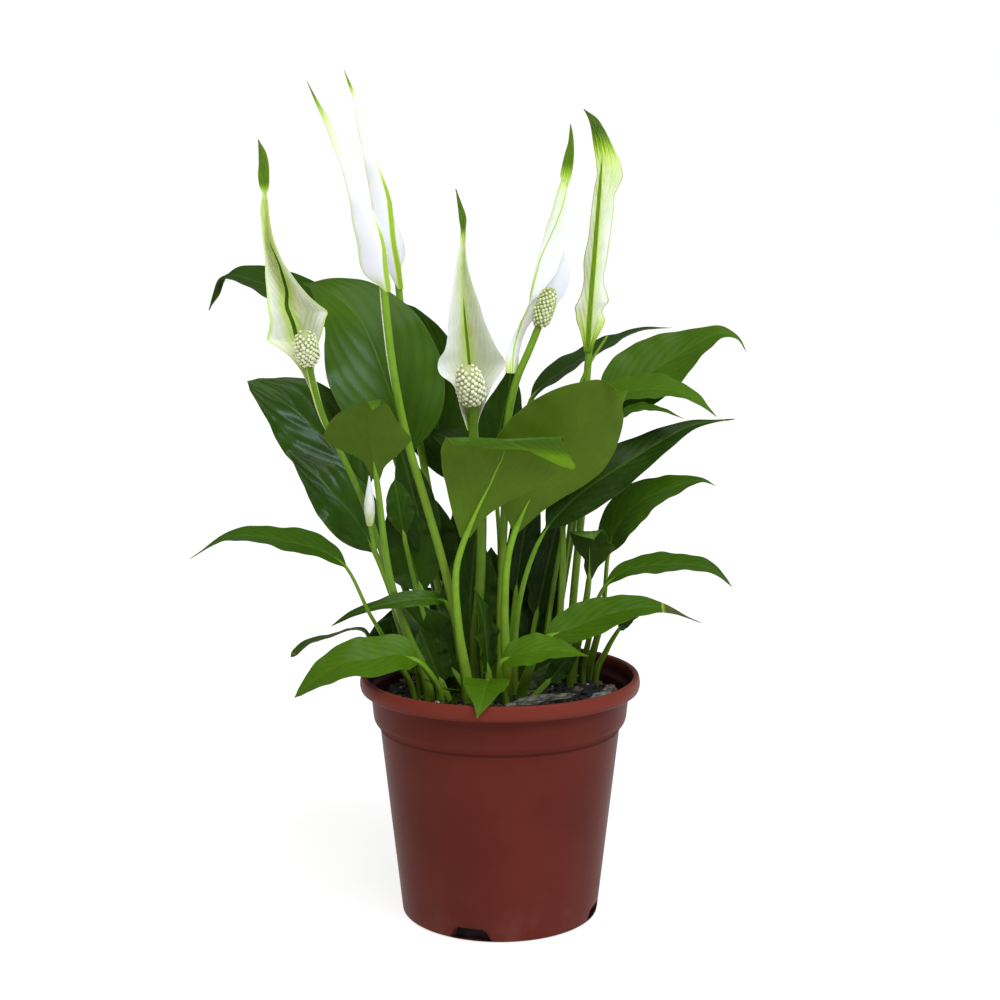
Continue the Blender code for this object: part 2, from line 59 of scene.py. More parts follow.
class Shade:
    """A number or colour that changes over a surface, so that finishes are written as plain sums."""

    def __init__(self, socket):
        self.socket = socket

    def node(self, kind, settings=(), plugs=(), out=0):
        """Adds a shader node: its settings first, then its inputs.  Gives the output asked for."""
        made = self.socket.id_data.nodes.new("ShaderNode" + kind)
        for key, value in dict(settings).items():
            if key == "stops":
                while len(made.color_ramp.elements) < len(value):
                    made.color_ramp.elements.new(1.0)
                for element, (at, colour) in zip(made.color_ramp.elements, value):
                    element.position, element.color = at, (*colour, 1.0)
            else:
                setattr(made, key, value)
        for key, value in dict(plugs).items():
            self.plug(value, made.inputs[key])
        return Shade(made.outputs[out])

    def plug(self, value, target):
        """Links a shade to an input, or writes a plain number or colour on it."""
        if isinstance(value, Shade):
            self.socket.id_data.links.new(value.socket, target)
        elif hasattr(value, "__len__") and len(value) == 3 and len(target.default_value) == 4:
            target.default_value = (*value, 1.0)
        else:
            target.default_value = value

    def sum(self, operation, *others):
        """This worked out, with others where the operation needs them."""
        return self.node("Math", {"operation": operation}, dict(enumerate((self, *others))))

    def __add__(self, other):
        return self.sum("ADD", other)

    def __sub__(self, other):
        return self.sum("SUBTRACT", other)

    def __rsub__(self, other):
        return self.node("Math", {"operation": "SUBTRACT"}, {0: other, 1: self})

    def __mul__(self, other):
        return self.sum("MULTIPLY", other)

    __radd__, __rmul__ = __add__, __mul__

    def __pow__(self, other):
        return self.sum("POWER", other)

    def arches(self):
        """A row of round arches, 0 at each whole number and 1 half-way."""
        return (self * math.pi).sum("SINE").sum("ABSOLUTE")

    def between(self, low, high, start=0.0, end=1.0):
        """Eases from start to end as this goes from low to high."""
        return self.node("MapRange", {"interpolation_type": "SMOOTHSTEP"},
                         {"Value": self, "From Min": low, "From Max": high, "To Min": start, "To Max": end})

    def blend(self, first, second):
        """Colour that goes from the first to the second as this goes from 0 to 1."""
        return self.node("Mix", {"data_type": "RGBA"}, {0: self, 6: first, 7: second}, out=2)

    def stretched(self, *scale):
        return self.node("VectorMath", {"operation": "MULTIPLY"}, {0: self, 1: scale})

    def grain(self, scale, detail=2.0, roughness=0.5):
        """Soft noise, 0 to 1, with this place as its coordinate."""
        return self.node("TexNoise", {}, {"Vector": self, "Scale": scale, "Detail": detail,
                                          "Roughness": roughness})

    def cells(self, scale):
        """Distance to the middle of the nearest cell, with this place as its coordinate."""
        return self.node("TexVoronoi", {}, {"Vector": self, "Scale": scale})

    def part(self, axis):
        return self.node("SeparateXYZ", {}, {0: self}, out=axis)

    def painted(self, name):
        """The three numbers that a mesh carries at each point under this name."""
        return self.node("Attribute", {"attribute_name": name}, out=1)


def new_finish(name, roughness=0.5, **constants):
    """A Principled material.  Gives it, its surface node and the place on the piece, in metres."""
    mat = bpy.data.materials.new(name)
    mat.use_nodes = True
    surface = mat.node_tree.nodes["Principled BSDF"]
    surface.inputs["Roughness"].default_value = roughness
    for key, value in constants.items():
        surface.inputs[key.replace("_", " ")].default_value = value
    place = Shade(mat.node_tree.nodes.new("ShaderNodeTexCoord").outputs["Object"])
    return mat, surface, place


def raise_by(place, surface, height, depth, strength=1.0):
    """Bumps a surface by a height pattern, 0 to 1, that stands for this depth in metres."""
    bump = place.node("Bump", {}, {"Height": height, "Distance": depth, "Strength": strength})
    place.plug(bump, surface.inputs["Normal"])


scene = bpy.context.scene
scene.view_settings.view_transform = "Standard"
scene.view_settings.look = "None"

world = bpy.data.worlds.new("daylight")
scene.world = world
world.use_nodes = True
haze = world.node_tree.nodes["Background"]
haze.inputs["Color"].default_value = (1.0, 1.0, 1.0, 1.0)
HAZE_LIGHT, HAZE_SEEN = 0.34, 1.02  # how bright it is as a light, and as the backdrop
seen = Shade(world.node_tree.nodes.new("ShaderNodeLightPath").outputs["Is Camera Ray"])
seen.plug(seen * (HAZE_SEEN - HAZE_LIGHT) + HAZE_LIGHT, haze.inputs["Strength"])

board_paint, board_surface, board_place = new_finish("board_paint", 0.9, Specular_IOR_Level=0.1)
tint = board_place.grain(6.0, 3.0)
board_place.plug(tint.blend((0.34, 0.34, 0.34), (0.36, 0.36, 0.36)), board_surface.inputs["Base Color"])
board_surface.inputs["Emission Color"].default_value = (1.0, 1.0, 1.0, 1.0)
board_surface.inputs["Emission Strength"].default_value = 0.78
bpy.ops.mesh.primitive_circle_add(vertices=128, radius=9.0, fill_type="NGON", location=(0, 0, -0.4 * MM))
floor = bpy.context.object
floor.name = "floor"
floor.data.materials.append(board_paint)

daylight = bpy.data.lights.new("daylight", "SUN")
daylight.energy, daylight.angle, daylight.color = 1.9, math.radians(45), (1.0, 0.99, 0.96)
sun = bpy.data.objects.new("daylight", daylight)
scene.collection.objects.link(sun)
sun.rotation_euler = Vector((-0.08, 0.70, -1.15)).to_track_quat("-Z", "Y").to_euler()

cool_light = bpy.data.lights.new("cool_box_right", "AREA")
cool_light.shape, cool_light.size, cool_light.size_y = "RECTANGLE", 0.28, 0.44
cool_light.energy, cool_light.color = 7.5, (0.70, 0.84, 1.0)
cool_box = bpy.data.objects.new("cool_box_right", cool_light)
scene.collection.objects.link(cool_box)
cool_box.location = (0.64, -0.66, 0.88)
cool_box.rotation_euler = (Vector((0, 0, 0.2)) - cool_box.location).to_track_quat("-Z", "Y").to_euler()

CAMERA_DIP = 7.61  # degrees below level
lens = bpy.data.cameras.new("camera")
lens.lens, lens.sensor_width = 59.33, 36.0
camera = bpy.data.objects.new("camera", lens)
scene.collection.objects.link(camera)
camera.location = (0, -0.690, 0.2703)
camera.rotation_euler = (math.radians(90 - CAMERA_DIP), 0, 0)
scene.camera = camera


# ---- the pot: a thin-walled nursery pot, injection moulded in terracotta-coloured plastic ----
# It has a rolled lip, a collar that steps out so pots stack without jamming, and four drain
# notches cut into the foot of the wall.  The mould leaves faint rings and the handling fine scuffs.

def finish_slot(piece, mat, slot, *nodes):
    """Gives a piece its material, lets it stand for CAD nodes, and lets it ride.  slot is not used."""
    if mat is not None:
        piece.data.materials.append(mat)
    if nodes:
        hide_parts(*nodes)
    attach(piece, "root")
    return piece


def new_piece(name, bm):
    """Turns a finished bmesh into a piece of the scene."""
    mesh = bpy.data.meshes.new(name)
    bm.to_mesh(mesh)
    bm.free()
    piece = bpy.data.objects.new(name, mesh)
    scene.collection.objects.link(piece)
    return piece


def rounded(corners, steps=5, longest=3.5):
    """Outline through (radius, height, rounding) corners in mm, each eased with a short curve.

    steps: pieces of each curve.  longest: the longest straight piece, mm.
    """
    flat = [Vector((r, z)) for r, z, _ in corners]
    line = [flat[0]]
    for i in range(1, len(corners) - 1):
        here, ease = flat[i], corners[i][2]
        before, after = flat[i - 1] - here, flat[i + 1] - here
        ease = min(ease, before.length * 0.49, after.length * 0.49)
        start, end = here + before.normalized() * ease, here + after.normalized() * ease
        for k in range(steps + 1):
            t = k / steps
            line.append(start * (1 - t) ** 2 + here * 2 * t * (1 - t) + end * t**2)
    line.append(flat[-1])
    even = [line[0]]
    for before, after in zip(line, line[1:]):
        parts = max(1, round((after - before).length / longest))
        even += [before.lerp(after, (k + 1) / parts) for k in range(parts)]
    return even


def turned(name, line, sides):
    """Turned mesh from an outline in millimetres that starts and ends on the axis."""
    bm = bmesh.new()
    ends = [bm.verts.new((0, 0, line[k].y * MM)) for k in (0, -1)]
    loops = []
    for i in range(sides):
        turn = 2 * math.pi * i / sides
        out = Vector((math.cos(turn), math.sin(turn), 0)) * MM
        loops.append([ends[0], *(bm.verts.new(out * p.x + Vector((0, 0, p.y * MM))) for p in line[1:-1]),
                      ends[1]])
    for here, there in zip(loops, loops[1:] + loops[:1]):
        for k in range(len(line) - 1):
            bm.faces.new(list(dict.fromkeys((here[k], there[k], there[k + 1], here[k + 1]))))
    bmesh.ops.recalc_face_normals(bm, faces=bm.faces)
    return new_piece(name, bm)


POT_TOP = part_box("pot")[1].z / MM
LIP_RADIUS = 60.0
pot_outline = rounded([
    (0, 1.2, 0), (38.5, 1.2, 1), (39.5, 0, 0.5), (42.2, 0, 0.9), (51.35, 81.2, 0.7), (54.0, 84.6, 1.6),
    (55.25, 96.9, 0.9), (57.6, 97.2, 1.0), (59.3, 97.5, 1.2), (LIP_RADIUS, 100.4, 2.0), (59.2, POT_TOP, 1.6),
    (57.0, POT_TOP - 0.2, 1.2), (55.7, 97.6, 1.5), (54.2, 96.0, 1.0), (52.3, 84.8, 1.6),
    (49.7, 81.4, 0.8), (41.2, 6.8, 1.5), (0, 6.8, 0),
])
grow_pot = turned("grow_pot", pot_outline, 144)
grow_pot.data.shade_smooth()
grow_pot.data.set_sharp_from_angle(angle=math.radians(32))

NOTCH_ANGLES = (-107, -17, 73, 163)
NOTCH_INSIDE, NOTCH_OUTSIDE = 39.5, 47.0
NOTCH_LEVELS = ((0.35, 18.5), (5.6, 12.8))  # height and width at its foot and at its top
HIGH_EDGE = 4 * MM  # only the notches' upper and sloping edges are rounded
cutter_bm = bmesh.new()
for angle in NOTCH_ANGLES:
    turn = math.radians(angle)
    out, across = Vector((math.cos(turn), math.sin(turn), 0)), Vector((-math.sin(turn), math.cos(turn), 0))
    rings = [[cutter_bm.verts.new((out * r + across * w + Vector((0, 0, z))) * MM)
              for r, w in ((NOTCH_INSIDE, -wide / 2), (NOTCH_OUTSIDE, -wide / 2),
                           (NOTCH_OUTSIDE, wide / 2), (NOTCH_INSIDE, wide / 2))]
             for z, wide in NOTCH_LEVELS]
    cutter_bm.faces.new(rings[0][::-1])
    cutter_bm.faces.new(rings[1])
    for i in range(4):
        cutter_bm.faces.new((rings[0][i], rings[0][(i + 1) % 4], rings[1][(i + 1) % 4], rings[1][i]))
bmesh.ops.bevel(cutter_bm, geom=[e for e in cutter_bm.edges if all(v.co.z > HIGH_EDGE for v in e.verts)
                                 or abs(e.verts[0].co.z - e.verts[1].co.z) > HIGH_EDGE],
                offset=0.9 * MM, segments=3, affect="EDGES")
cutter = new_piece("notch_cutter", cutter_bm)
cut = grow_pot.modifiers.new("notches", "BOOLEAN")
cut.operation, cut.solver, cut.object = "DIFFERENCE", "EXACT", cutter
bpy.context.view_layer.update()
cut_mesh = bpy.data.meshes.new_from_object(grow_pot.evaluated_get(bpy.context.evaluated_depsgraph_get()))
grow_pot.modifiers.clear()
grow_pot.data = cut_mesh
bpy.data.objects.remove(cutter)

plastic, surface, place = new_finish("terracotta_plastic", 0.42, Specular_IOR_Level=0.05)
height = place.part(2)
from_axis = place.node("VectorMath", {"operation": "LENGTH"}, {0: place.stretched(1, 1, 0)}, out=1)
# parts of the pot, by height and by distance from its axis
# painted highlight: the rounded upper face of the lip, where the light falls
lip_highlight = height.between(0.0972, 0.0992) * from_axis.between(0.0566, 0.0576)
# painted shade: the inside of the rim below and within the lip, and a thin band under the lip's roll
below_lip = (from_axis - height * 0.13).between(0.0419, 0.0423, 1.0, 0.0) * height.between(0.0865, 0.0890)
inside_lip = from_axis.between(0.0562, 0.0566, 1.0, 0.0) * height.between(0.0962, 0.0966)
inner_wall_shade = below_lip.sum("MAXIMUM", inside_lip)
# painted shade: the foot inside the wall, seen through the drain notches, and the pot's underside
foot_inside = from_axis.between(0.0400, 0.0404, 1.0, 0.0) * height.between(0.0064, 0.0066, 1.0, 0.0)
foot_rim = height.between(0.0003, 0.0005, 1.0, 0.0) * from_axis.between(0.0416, 0.0420, 1.0, 0.0)
notch_shade = foot_inside.sum("MAXIMUM", foot_rim)
ledge = height.between(0.0803, 0.0814) * height.between(0.0838, 0.0852, 1.0, 0.0)
clouds = place.grain(28.0, 4.0)
rings_of_mould = place.stretched(6, 6, 420).grain(1.0, 3.0)
scuffs = place.stretched(1, 1, 5).grain(320.0, 4.0, 0.7).between(0.66, 0.82)
foot_dust = height.between(0.0, 0.03, 1.0, 0.0) * place.grain(90.0, 5.0).between(0.4, 0.8)
red_brown = clouds.between(0.3, 0.7).blend((0.088, 0.0140, 0.0088), (0.104, 0.0175, 0.0112))
# painted highlight: the lip's upper face is painted a lighter red-brown
red_brown = (lip_highlight * 0.85).blend(red_brown, (0.155, 0.0270, 0.0175))
# painted shadow: a thin dark line on the underside of the collar's step, which faces away from the light
ledge_shadow = height.between(0.0806, 0.0812) * height.between(0.0820, 0.0826, 1.0, 0.0)
red_brown = (ledge_shadow * 0.55).blend(red_brown, (0.030, 0.0060, 0.0050))
# painted shade: the inside of the rim is painted a very dark brown
red_brown = (inner_wall_shade * 0.8).blend(red_brown, (0.026, 0.0050, 0.0050))
# painted shade: nearly black behind the notches and under the foot
red_brown = notch_shade.blend(red_brown, (0.0060, 0.0040, 0.0060))
worn = (scuffs * 0.35 + foot_dust * 0.25).blend(red_brown, (0.19, 0.070, 0.055))
SPECK = (0.0385, -0.0405, 0.0945)
from_speck = place.node("VectorMath", {"operation": "DISTANCE"}, {0: place, 1: SPECK}, out=1)
place.plug(from_speck.between(0.0005, 0.0009).blend((0.03, 0.012, 0.012), worn), surface.inputs["Base Color"])
dulled = clouds.between(0.2, 0.8, 0.36, 0.46) + scuffs * 0.12 + foot_dust * 0.2 + ledge * 0.35
place.plug(dulled, surface.inputs["Roughness"])
raise_by(place, surface, rings_of_mould * 0.6 + place.grain(900.0, 2.0) * 0.25 + scuffs * 0.15, 0.00012)
finish_slot(grow_pot, plastic, "terracotta_plastic", "pot")


# ---- the growing medium: peat with perlite, bark chips, a twig and a few pebbles ----
# It is filled by hand to about a centimetre below the lip, so it lies uneven and crumbly.

SOIL_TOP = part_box("potting_soil")[1].z
SOIL_EDGE = 0.0527
CRUMB_REACH = 0.0505


def soil_height(x, y):
    """Height of the crumbly ground at a place, in metres."""
    r = math.hypot(x, y)
    rough = noise.fractal(Vector((x, y, 0)) * 130, 0.7, 2.1, 5) * 0.0014
    lumps = noise.noise(Vector((x, y, 3)) * 45) * 0.0016
    return SOIL_TOP - 0.0008 - 0.0035 * max(0.0, (r - 0.040) / 0.013) ** 2 + rough + lumps


ground_bm = bmesh.new()
RINGS, SPOKES = 84, 220
middle = ground_bm.verts.new((0, 0, soil_height(0, 0)))
loops = []
for k in range(1, RINGS + 1):
    r = SOIL_EDGE * k / RINGS
    loop = []
    for i in range(SPOKES):
        a = 2 * math.pi * i / SPOKES
        x, y = r * math.cos(a), r * math.sin(a)
        loop.append(ground_bm.verts.new((x, y, soil_height(x, y))))
    loops.append(loop)
SKIRT_DEPTH = 0.012
skirt = [ground_bm.verts.new((v.co.x * 0.985, v.co.y * 0.985, SOIL_TOP - SKIRT_DEPTH)) for v in loops[-1]]
for i in range(SPOKES):
    ground_bm.faces.new((middle, loops[0][i], loops[0][(i + 1) % SPOKES]))
for inner, outer in zip(loops, loops[1:] + [skirt]):
    for i in range(SPOKES):
        j = (i + 1) % SPOKES
        ground_bm.faces.new((inner[i], outer[i], outer[j], inner[j]))
ground_bm.faces.new(skirt[::-1])
peat_ground = new_piece("peat_ground", ground_bm)
peat_ground.data.shade_smooth()

peat, surface, place = new_finish("damp_peat", 0.9)
fibre = place.grain(420.0, 6.0, 0.65)
clods = place.cells(260.0)
dark = fibre.between(0.35, 0.75).blend((0.0045, 0.0035, 0.003), (0.027, 0.020, 0.015))
patchy = place.grain(60.0, 2.0).between(0.4, 0.7).blend(dark, (0.016, 0.012, 0.010))
place.plug(patchy, surface.inputs["Base Color"])
place.plug(fibre.between(0.3, 0.8, 0.7, 0.98), surface.inputs["Roughness"])
raise_by(place, surface, fibre * 0.7 + clods * 0.3, 0.0016)
finish_slot(peat_ground, peat, "peat", "potting_soil")


def scatter(name, count, size, flat, roughen, mat, seed, facets=1):
    """Loose bits lying on the ground: small lumps, squashed and roughened at random.

    size: smallest and largest radius.  flat: least and most height against width.
    """
    dice = np.random.default_rng(seed)
    bm = bmesh.new()
    for _ in range(count):
        r = math.sqrt(dice.uniform(0, CRUMB_REACH**2))
        a = dice.uniform(0, 2 * math.pi)
        x, y = r * math.cos(a), r * math.sin(a)
        big = dice.uniform(*size)
        made = bmesh.ops.create_icosphere(bm, subdivisions=facets, radius=1.0)["verts"]
        stretch = Vector((dice.uniform(0.8, 1.5), dice.uniform(0.7, 1.0), dice.uniform(*flat))) * big
        turn, tip = dice.uniform(0, math.pi), dice.uniform(-0.5, 0.5)
        c, s, ct, st = math.cos(turn), math.sin(turn), math.cos(tip), math.sin(tip)
        seat = soil_height(x, y) + big * dice.uniform(0.1, 0.5)
        for v in made:
            bulge = 1 + roughen * noise.noise(v.co * 1.7 + Vector((x, y, 0)) * 900)
            p = Vector((v.co.x * stretch.x, v.co.y * stretch.y, v.co.z * stretch.z)) * bulge
            p = Vector((p.x * ct - p.z * st, p.y, p.x * st + p.z * ct))
            v.co = Vector((p.x * c - p.y * s + x, p.x * s + p.y * c + y, p.z + seat))
    piece = new_piece(name, bm)
    piece.data.shade_smooth()
    piece.data.set_sharp_from_angle(angle=math.radians(38))
    return finish_slot(piece, mat, "peat")


scatter("peat_crumbs", 900, (0.0006, 0.0021), (0.5, 0.9), 0.7, peat, seed=3)

perlite, surface, place = new_finish("perlite", 0.85)
pits = place.cells(1500.0)
chalk = place.grain(300.0, 3.0).between(0.35, 0.75).blend((0.42, 0.41, 0.38), (0.80, 0.79, 0.75))
place.plug(chalk, surface.inputs["Base Color"])
raise_by(place, surface, pits, 0.0003)
scatter("perlite_grit", 150, (0.0004, 0.0011), (0.6, 1.0), 0.5, perlite, seed=5)

bark, surface, place = new_finish("bark_chips", 0.85)
layers = place.stretched(1, 1, 4).grain(500.0, 4.0)
bark_brown = layers.between(0.3, 0.7).blend((0.022, 0.016, 0.011), (0.17, 0.125, 0.085))
place.plug(bark_brown, surface.inputs["Base Color"])
raise_by(place, surface, layers, 0.0005)
scatter("bark_chips", 90, (0.0012, 0.0032), (0.2, 0.45), 0.6, bark, facets=2, seed=8)

stone, surface, place = new_finish("pebble_stone", 0.45)
mottle = place.grain(380.0, 5.0, 0.7)
stone_grey = mottle.between(0.35, 0.7).blend((0.035, 0.042, 0.046), (0.20, 0.23, 0.24))
place.plug(stone_grey, surface.inputs["Base Color"])
place.plug(mottle.between(0.3, 0.7, 0.3, 0.6), surface.inputs["Roughness"])
raise_by(place, surface, mottle, 0.0002)


def lump(name, spot, half_sizes, turn, mat, bumpy=0.12, seed=0):
    """One pebble or a stick of bark, pressed into the ground."""
    bm = bmesh.new()
    bmesh.ops.create_icosphere(bm, subdivisions=4, radius=1.0)
    c, s = math.cos(math.radians(turn)), math.sin(math.radians(turn))
    for v in bm.verts:
        bulge = 1 + bumpy * noise.fractal(v.co * 1.6 + Vector((seed, 0, 0)), 0.8, 2.0, 3)
        x, y, z = (v.co[k] * half_sizes[k] * MM * bulge for k in range(3))
        v.co = Vector((x * c - y * s, x * s + y * c, z)) + Vector(spot) * MM
    piece = new_piece(name, bm)
    piece.data.shade_smooth()
    return finish_slot(piece, mat, "peat")


lump("pebble_right", (43.0, -19.0, 96.4), (6.0, 4.2, 3.4), 20, stone, seed=2)
lump("pebble_left", (-33.0, -33.0, 95.0), (3.4, 2.6, 2.2), -30, stone, seed=7)
lump("pebble_back", (12.0, 42.0, 94.8), (4.2, 3.4, 2.6), 60, stone, seed=9)

twig, surface, place = new_finish("weathered_twig", 0.85)
grain = place.stretched(1.0, 1.0, 3.0).grain(330.0, 5.0, 0.7)
twig_grey = grain.between(0.35, 0.66).blend((0.024, 0.021, 0.014), (0.19, 0.175, 0.125))
place.plug(twig_grey, surface.inputs["Base Color"])
raise_by(place, surface, grain, 0.0006)
lump("bark_stick", (15.5, -27.0, 98.3), (15.0, 2.0, 1.8), 31, twig, bumpy=0.45, seed=4)
lump("bark_piece", (46.0, -6.0, 96.4), (8.0, 2.4, 2.6), 62, bark, bumpy=0.35, seed=12)


# ---- the leaf and flower stalks: juicy green stems that rise from the soil ----
# Each is grown along the rings of its CAD solid.  They are a little ribbed, and painted paler towards
# the top and darker near the soil: painted shade where the plant is crowded.

def shortest_pairs(ways, taken=()):
    """Which corner of the next ring belongs to each corner of this one: the shortest edges, none shared."""
    if not ways:
        return 0.0, []
    best = None
    for cost, corner in ways[0]:
        if corner not in taken:
            rest = shortest_pairs(ways[1:], (*taken, corner))
            if rest and (best is None or cost + rest[0] < best[0]):
                best = cost + rest[0], [corner, *rest[1]]
    return best


def ring_columns(node, corners):
    """Corners of a CAD sweep, ring by ring from its lower end; column by column they go round the ring."""
    bm = bmesh.new()
    bm.from_mesh(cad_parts[node].data)
    bmesh.ops.remove_doubles(bm, verts=bm.verts, dist=0.00002)
    lowest = min(bm.verts, key=lambda v: (round(v.co.z, 6), v.co.x))
    ring = sorted(bm.verts, key=lambda v: (v.co - lowest.co).length)[:corners]
    rings, done = [], set()
    while ring:
        rings.append(ring)
        done.update(ring)
        ways = [[(e.calc_length() ** 2, e.other_vert(v)) for e in v.link_edges if e.other_vert(v) not in done]
                for v in ring]
        ring = shortest_pairs(ways)[1] if all(ways) else None
    loop, order = rings[1], [0]
    while len(order) < corners:
        beside = [e.other_vert(loop[order[-1]]) for e in loop[order[-1]].link_edges]
        order.append(next(k for k, v in enumerate(loop) if v in beside and k not in order))
    found = np.array([[ring[k].co[:] for k in order] for ring in rings])
    bm.free()
    return found


def unit(v):
    return v / np.maximum(np.linalg.norm(v, axis=-1, keepdims=True), 1e-12)


def share(values):
    """Values kept between 0 and 1."""
    return np.clip(values, 0, 1)


def lengths_along(centres):
    """How far along a line each of its points lies."""
    return np.concatenate([[0.0], np.cumsum(np.linalg.norm(np.diff(centres, axis=0), axis=1))])


def smooth(knots, values, at):
    """Values at any distances along a piece, on smooth curves through the ones at its knots."""
    values = np.asarray(values, float)
    flat = values.reshape(len(knots), -1)
    slopes = np.gradient(flat, knots, axis=0)
    i = np.clip(np.searchsorted(knots, at) - 1, 0, len(knots) - 2)
    span = (knots[i + 1] - knots[i])[:, None]
    t = share((at - knots[i])[:, None] / span)
    curve = (flat[i] * (2 * t**3 - 3 * t**2 + 1) + flat[i + 1] * (3 * t**2 - 2 * t**3)
             + (slopes[i] * (t**3 - 2 * t**2 + t) + slopes[i + 1] * (t**3 - t**2)) * span)
    return curve.reshape(len(at), *values.shape[1:])


class Skin:
    """Points, faces and painted values of one piece while it is put together from sheets."""

    def __init__(self):
        self.points, self.place, self.vein, self.faces, self.finish = [], [], [], [], []

    def sheet(self, points, place, vein, finish=0, caps=(True, True)):
        """Adds rows x columns of points, with the last column joined to the first."""
        rows, columns = points.shape[:2]
        start = sum(len(p) for p in self.points)
        for store, values in ((self.points, points), (self.place, place), (self.vein, vein)):
            store.append(np.broadcast_to(values, (rows, columns, 3)).reshape(-1, 3))
        for i in range(rows - 1):
            for j in range(columns):
                k = (j + 1) % columns
                a, b = start + i * columns, start + (i + 1) * columns
                self.faces.append((a + j, a + k, b + k, b + j))
        if caps[0]:
            self.faces.append(tuple(start + j for j in reversed(range(columns))))
        if caps[1]:
            self.faces.append(tuple(start + (rows - 1) * columns + j for j in range(columns)))
        self.finish += [finish] * (len(self.faces) - len(self.finish))

    def build(self, name, materials, slot, *nodes, sharp=48):
        mesh = bpy.data.meshes.new(name)
        points = np.concatenate(self.points)
        mesh.from_pydata(points.tolist(), [], self.faces)
        for mat in materials:
            mesh.materials.append(mat)
        mesh.polygons.foreach_set("material_index", self.finish)
        for label, values in (("place_on_leaf", self.place), ("vein_run", self.vein)):
            kept = mesh.attributes.new(label, "FLOAT_VECTOR", "POINT")
            kept.data.foreach_set("vector", np.concatenate(values).astype(np.float32).ravel())
        bm = bmesh.new()
        bm.from_mesh(mesh)
        bmesh.ops.recalc_face_normals(bm, faces=bm.faces)
        bm.to_mesh(mesh)
        bm.free()
        mesh.shade_smooth()
        mesh.set_sharp_from_angle(angle=math.radians(sharp))
        piece = bpy.data.objects.new(name, mesh)
        scene.collection.objects.link(piece)
        return finish_slot(piece, None, slot, *nodes)


def tube(skin, centres, radii, face, place, finish=0, sides=12, groove=0.0, ribs=0.0, squash=1.0):
    """Adds a stem along the centres.  face points to its upper side, where a groove may run."""
    along = unit(np.gradient(centres, axis=0))
    side = unit(np.cross(along, face))
    up = np.cross(side, along)
    turn = 2 * np.pi * np.arange(sides) / sides
    channel = groove * np.exp(-(((turn - np.pi / 2 + np.pi) % (2 * np.pi) - np.pi) / 0.5) ** 2)
    rim = 1 - channel + ribs * np.cos(turn * 5 + 0.7)
    rings = (centres[:, None] + side[:, None] * (radii[:, None] * rim * np.cos(turn))[..., None]
             + up[:, None] * (radii[:, None] * rim * np.sin(turn) * squash)[..., None])
    around = np.broadcast_to((turn / (2 * np.pi))[None, :, None], (len(centres), sides, 1))
    skin.sheet(rings, place[:, None], np.concatenate([around, around * 0, around * 0], axis=2), finish)


stem_flesh, surface, place = new_finish("stem_flesh", 0.4, Specular_IOR_Level=0.14)
spot = place.painted("place_on_leaf")
run, tone = spot.part(0), spot.part(1)
fibres = place.stretched(900, 900, 40).grain(1.0, 3.0)
# painted shade: both greens darken towards the soil, where the plant is crowded
young = run.between(0.0, 1.0).blend((0.115, 0.190, 0.010), (0.19, 0.36, 0.018))
old = run.between(0.0, 1.0).blend((0.060, 0.110, 0.007), (0.082, 0.165, 0.010))
green = tone.blend(old, young)
stem_colour = (fibres.between(0.35, 0.7) * 0.22).blend(green, (0.20, 0.33, 0.03))
blotches = place.grain(140.0, 3.0).between(0.45, 0.75)
place.plug((blotches * 0.25).blend(stem_colour, (0.05, 0.09, 0.006)), surface.inputs["Base Color"])
place.plug(fibres.between(0.3, 0.7, 0.3, 0.45), surface.inputs["Roughness"])
raise_by(place, surface, fibres, 0.00015)


def above_ground(rings):
    """Centres and radii of a stalk's rings, with the buried foot cut shorter."""
    centres = rings.mean(axis=1)
    radii = np.linalg.norm(rings - centres[:, None], axis=2).mean(axis=1)
    centres[0] = centres[1] + (centres[0] - centres[1]) * 0.55
    return centres, radii


def stalk(node, tone, thick):
    """A round flower stalk; gives its centre line and its radii."""
    centres, radii = above_ground(ring_columns(node, 8))
    knots = lengths_along(centres)
    at = np.linspace(0, knots[-1], max(24, int(knots[-1] / 0.003)))
    line, wide = smooth(knots, centres, at), smooth(knots, radii, at) * thick
    swell = 1 + 0.25 * np.exp(-((at - 0.008) / 0.012) ** 2)
    place_on = np.stack([at / at[-1], np.full_like(at, tone), np.zeros_like(at)], axis=1)
    skin = Skin()
    tube(skin, line, wide * swell, np.array([0.0, -1.0, 0.05]), place_on, sides=16, ribs=0.035)
    skin.build(node.replace("flower_stalk", "flower_stem"), [stem_flesh], "stalk_green", node)
    return line, wide


STALKS = {  # how light its green is, and its thickness against the CAD's
    1: (0.3, 0.72), 2: (0.74, 0.92), 3: (0.95, 0.9), 4: (0.3, 1.15), 5: (0.75, 0.9), 6: (0.6, 0.9),
    7: (0.45, 0.6),
}
stalk_lines = {number: stalk(f"flower_stalk_{number}", *look) for number, look in STALKS.items()}


# ---- the leaves: long pointed blades on petioles that sheathe each other at the foot ----
# A blade is a thin folded sheet, quilted between side veins that sweep forward from the
# midrib.  The upper face is glossy, the underside a duller olive, and the tip long and narrow.

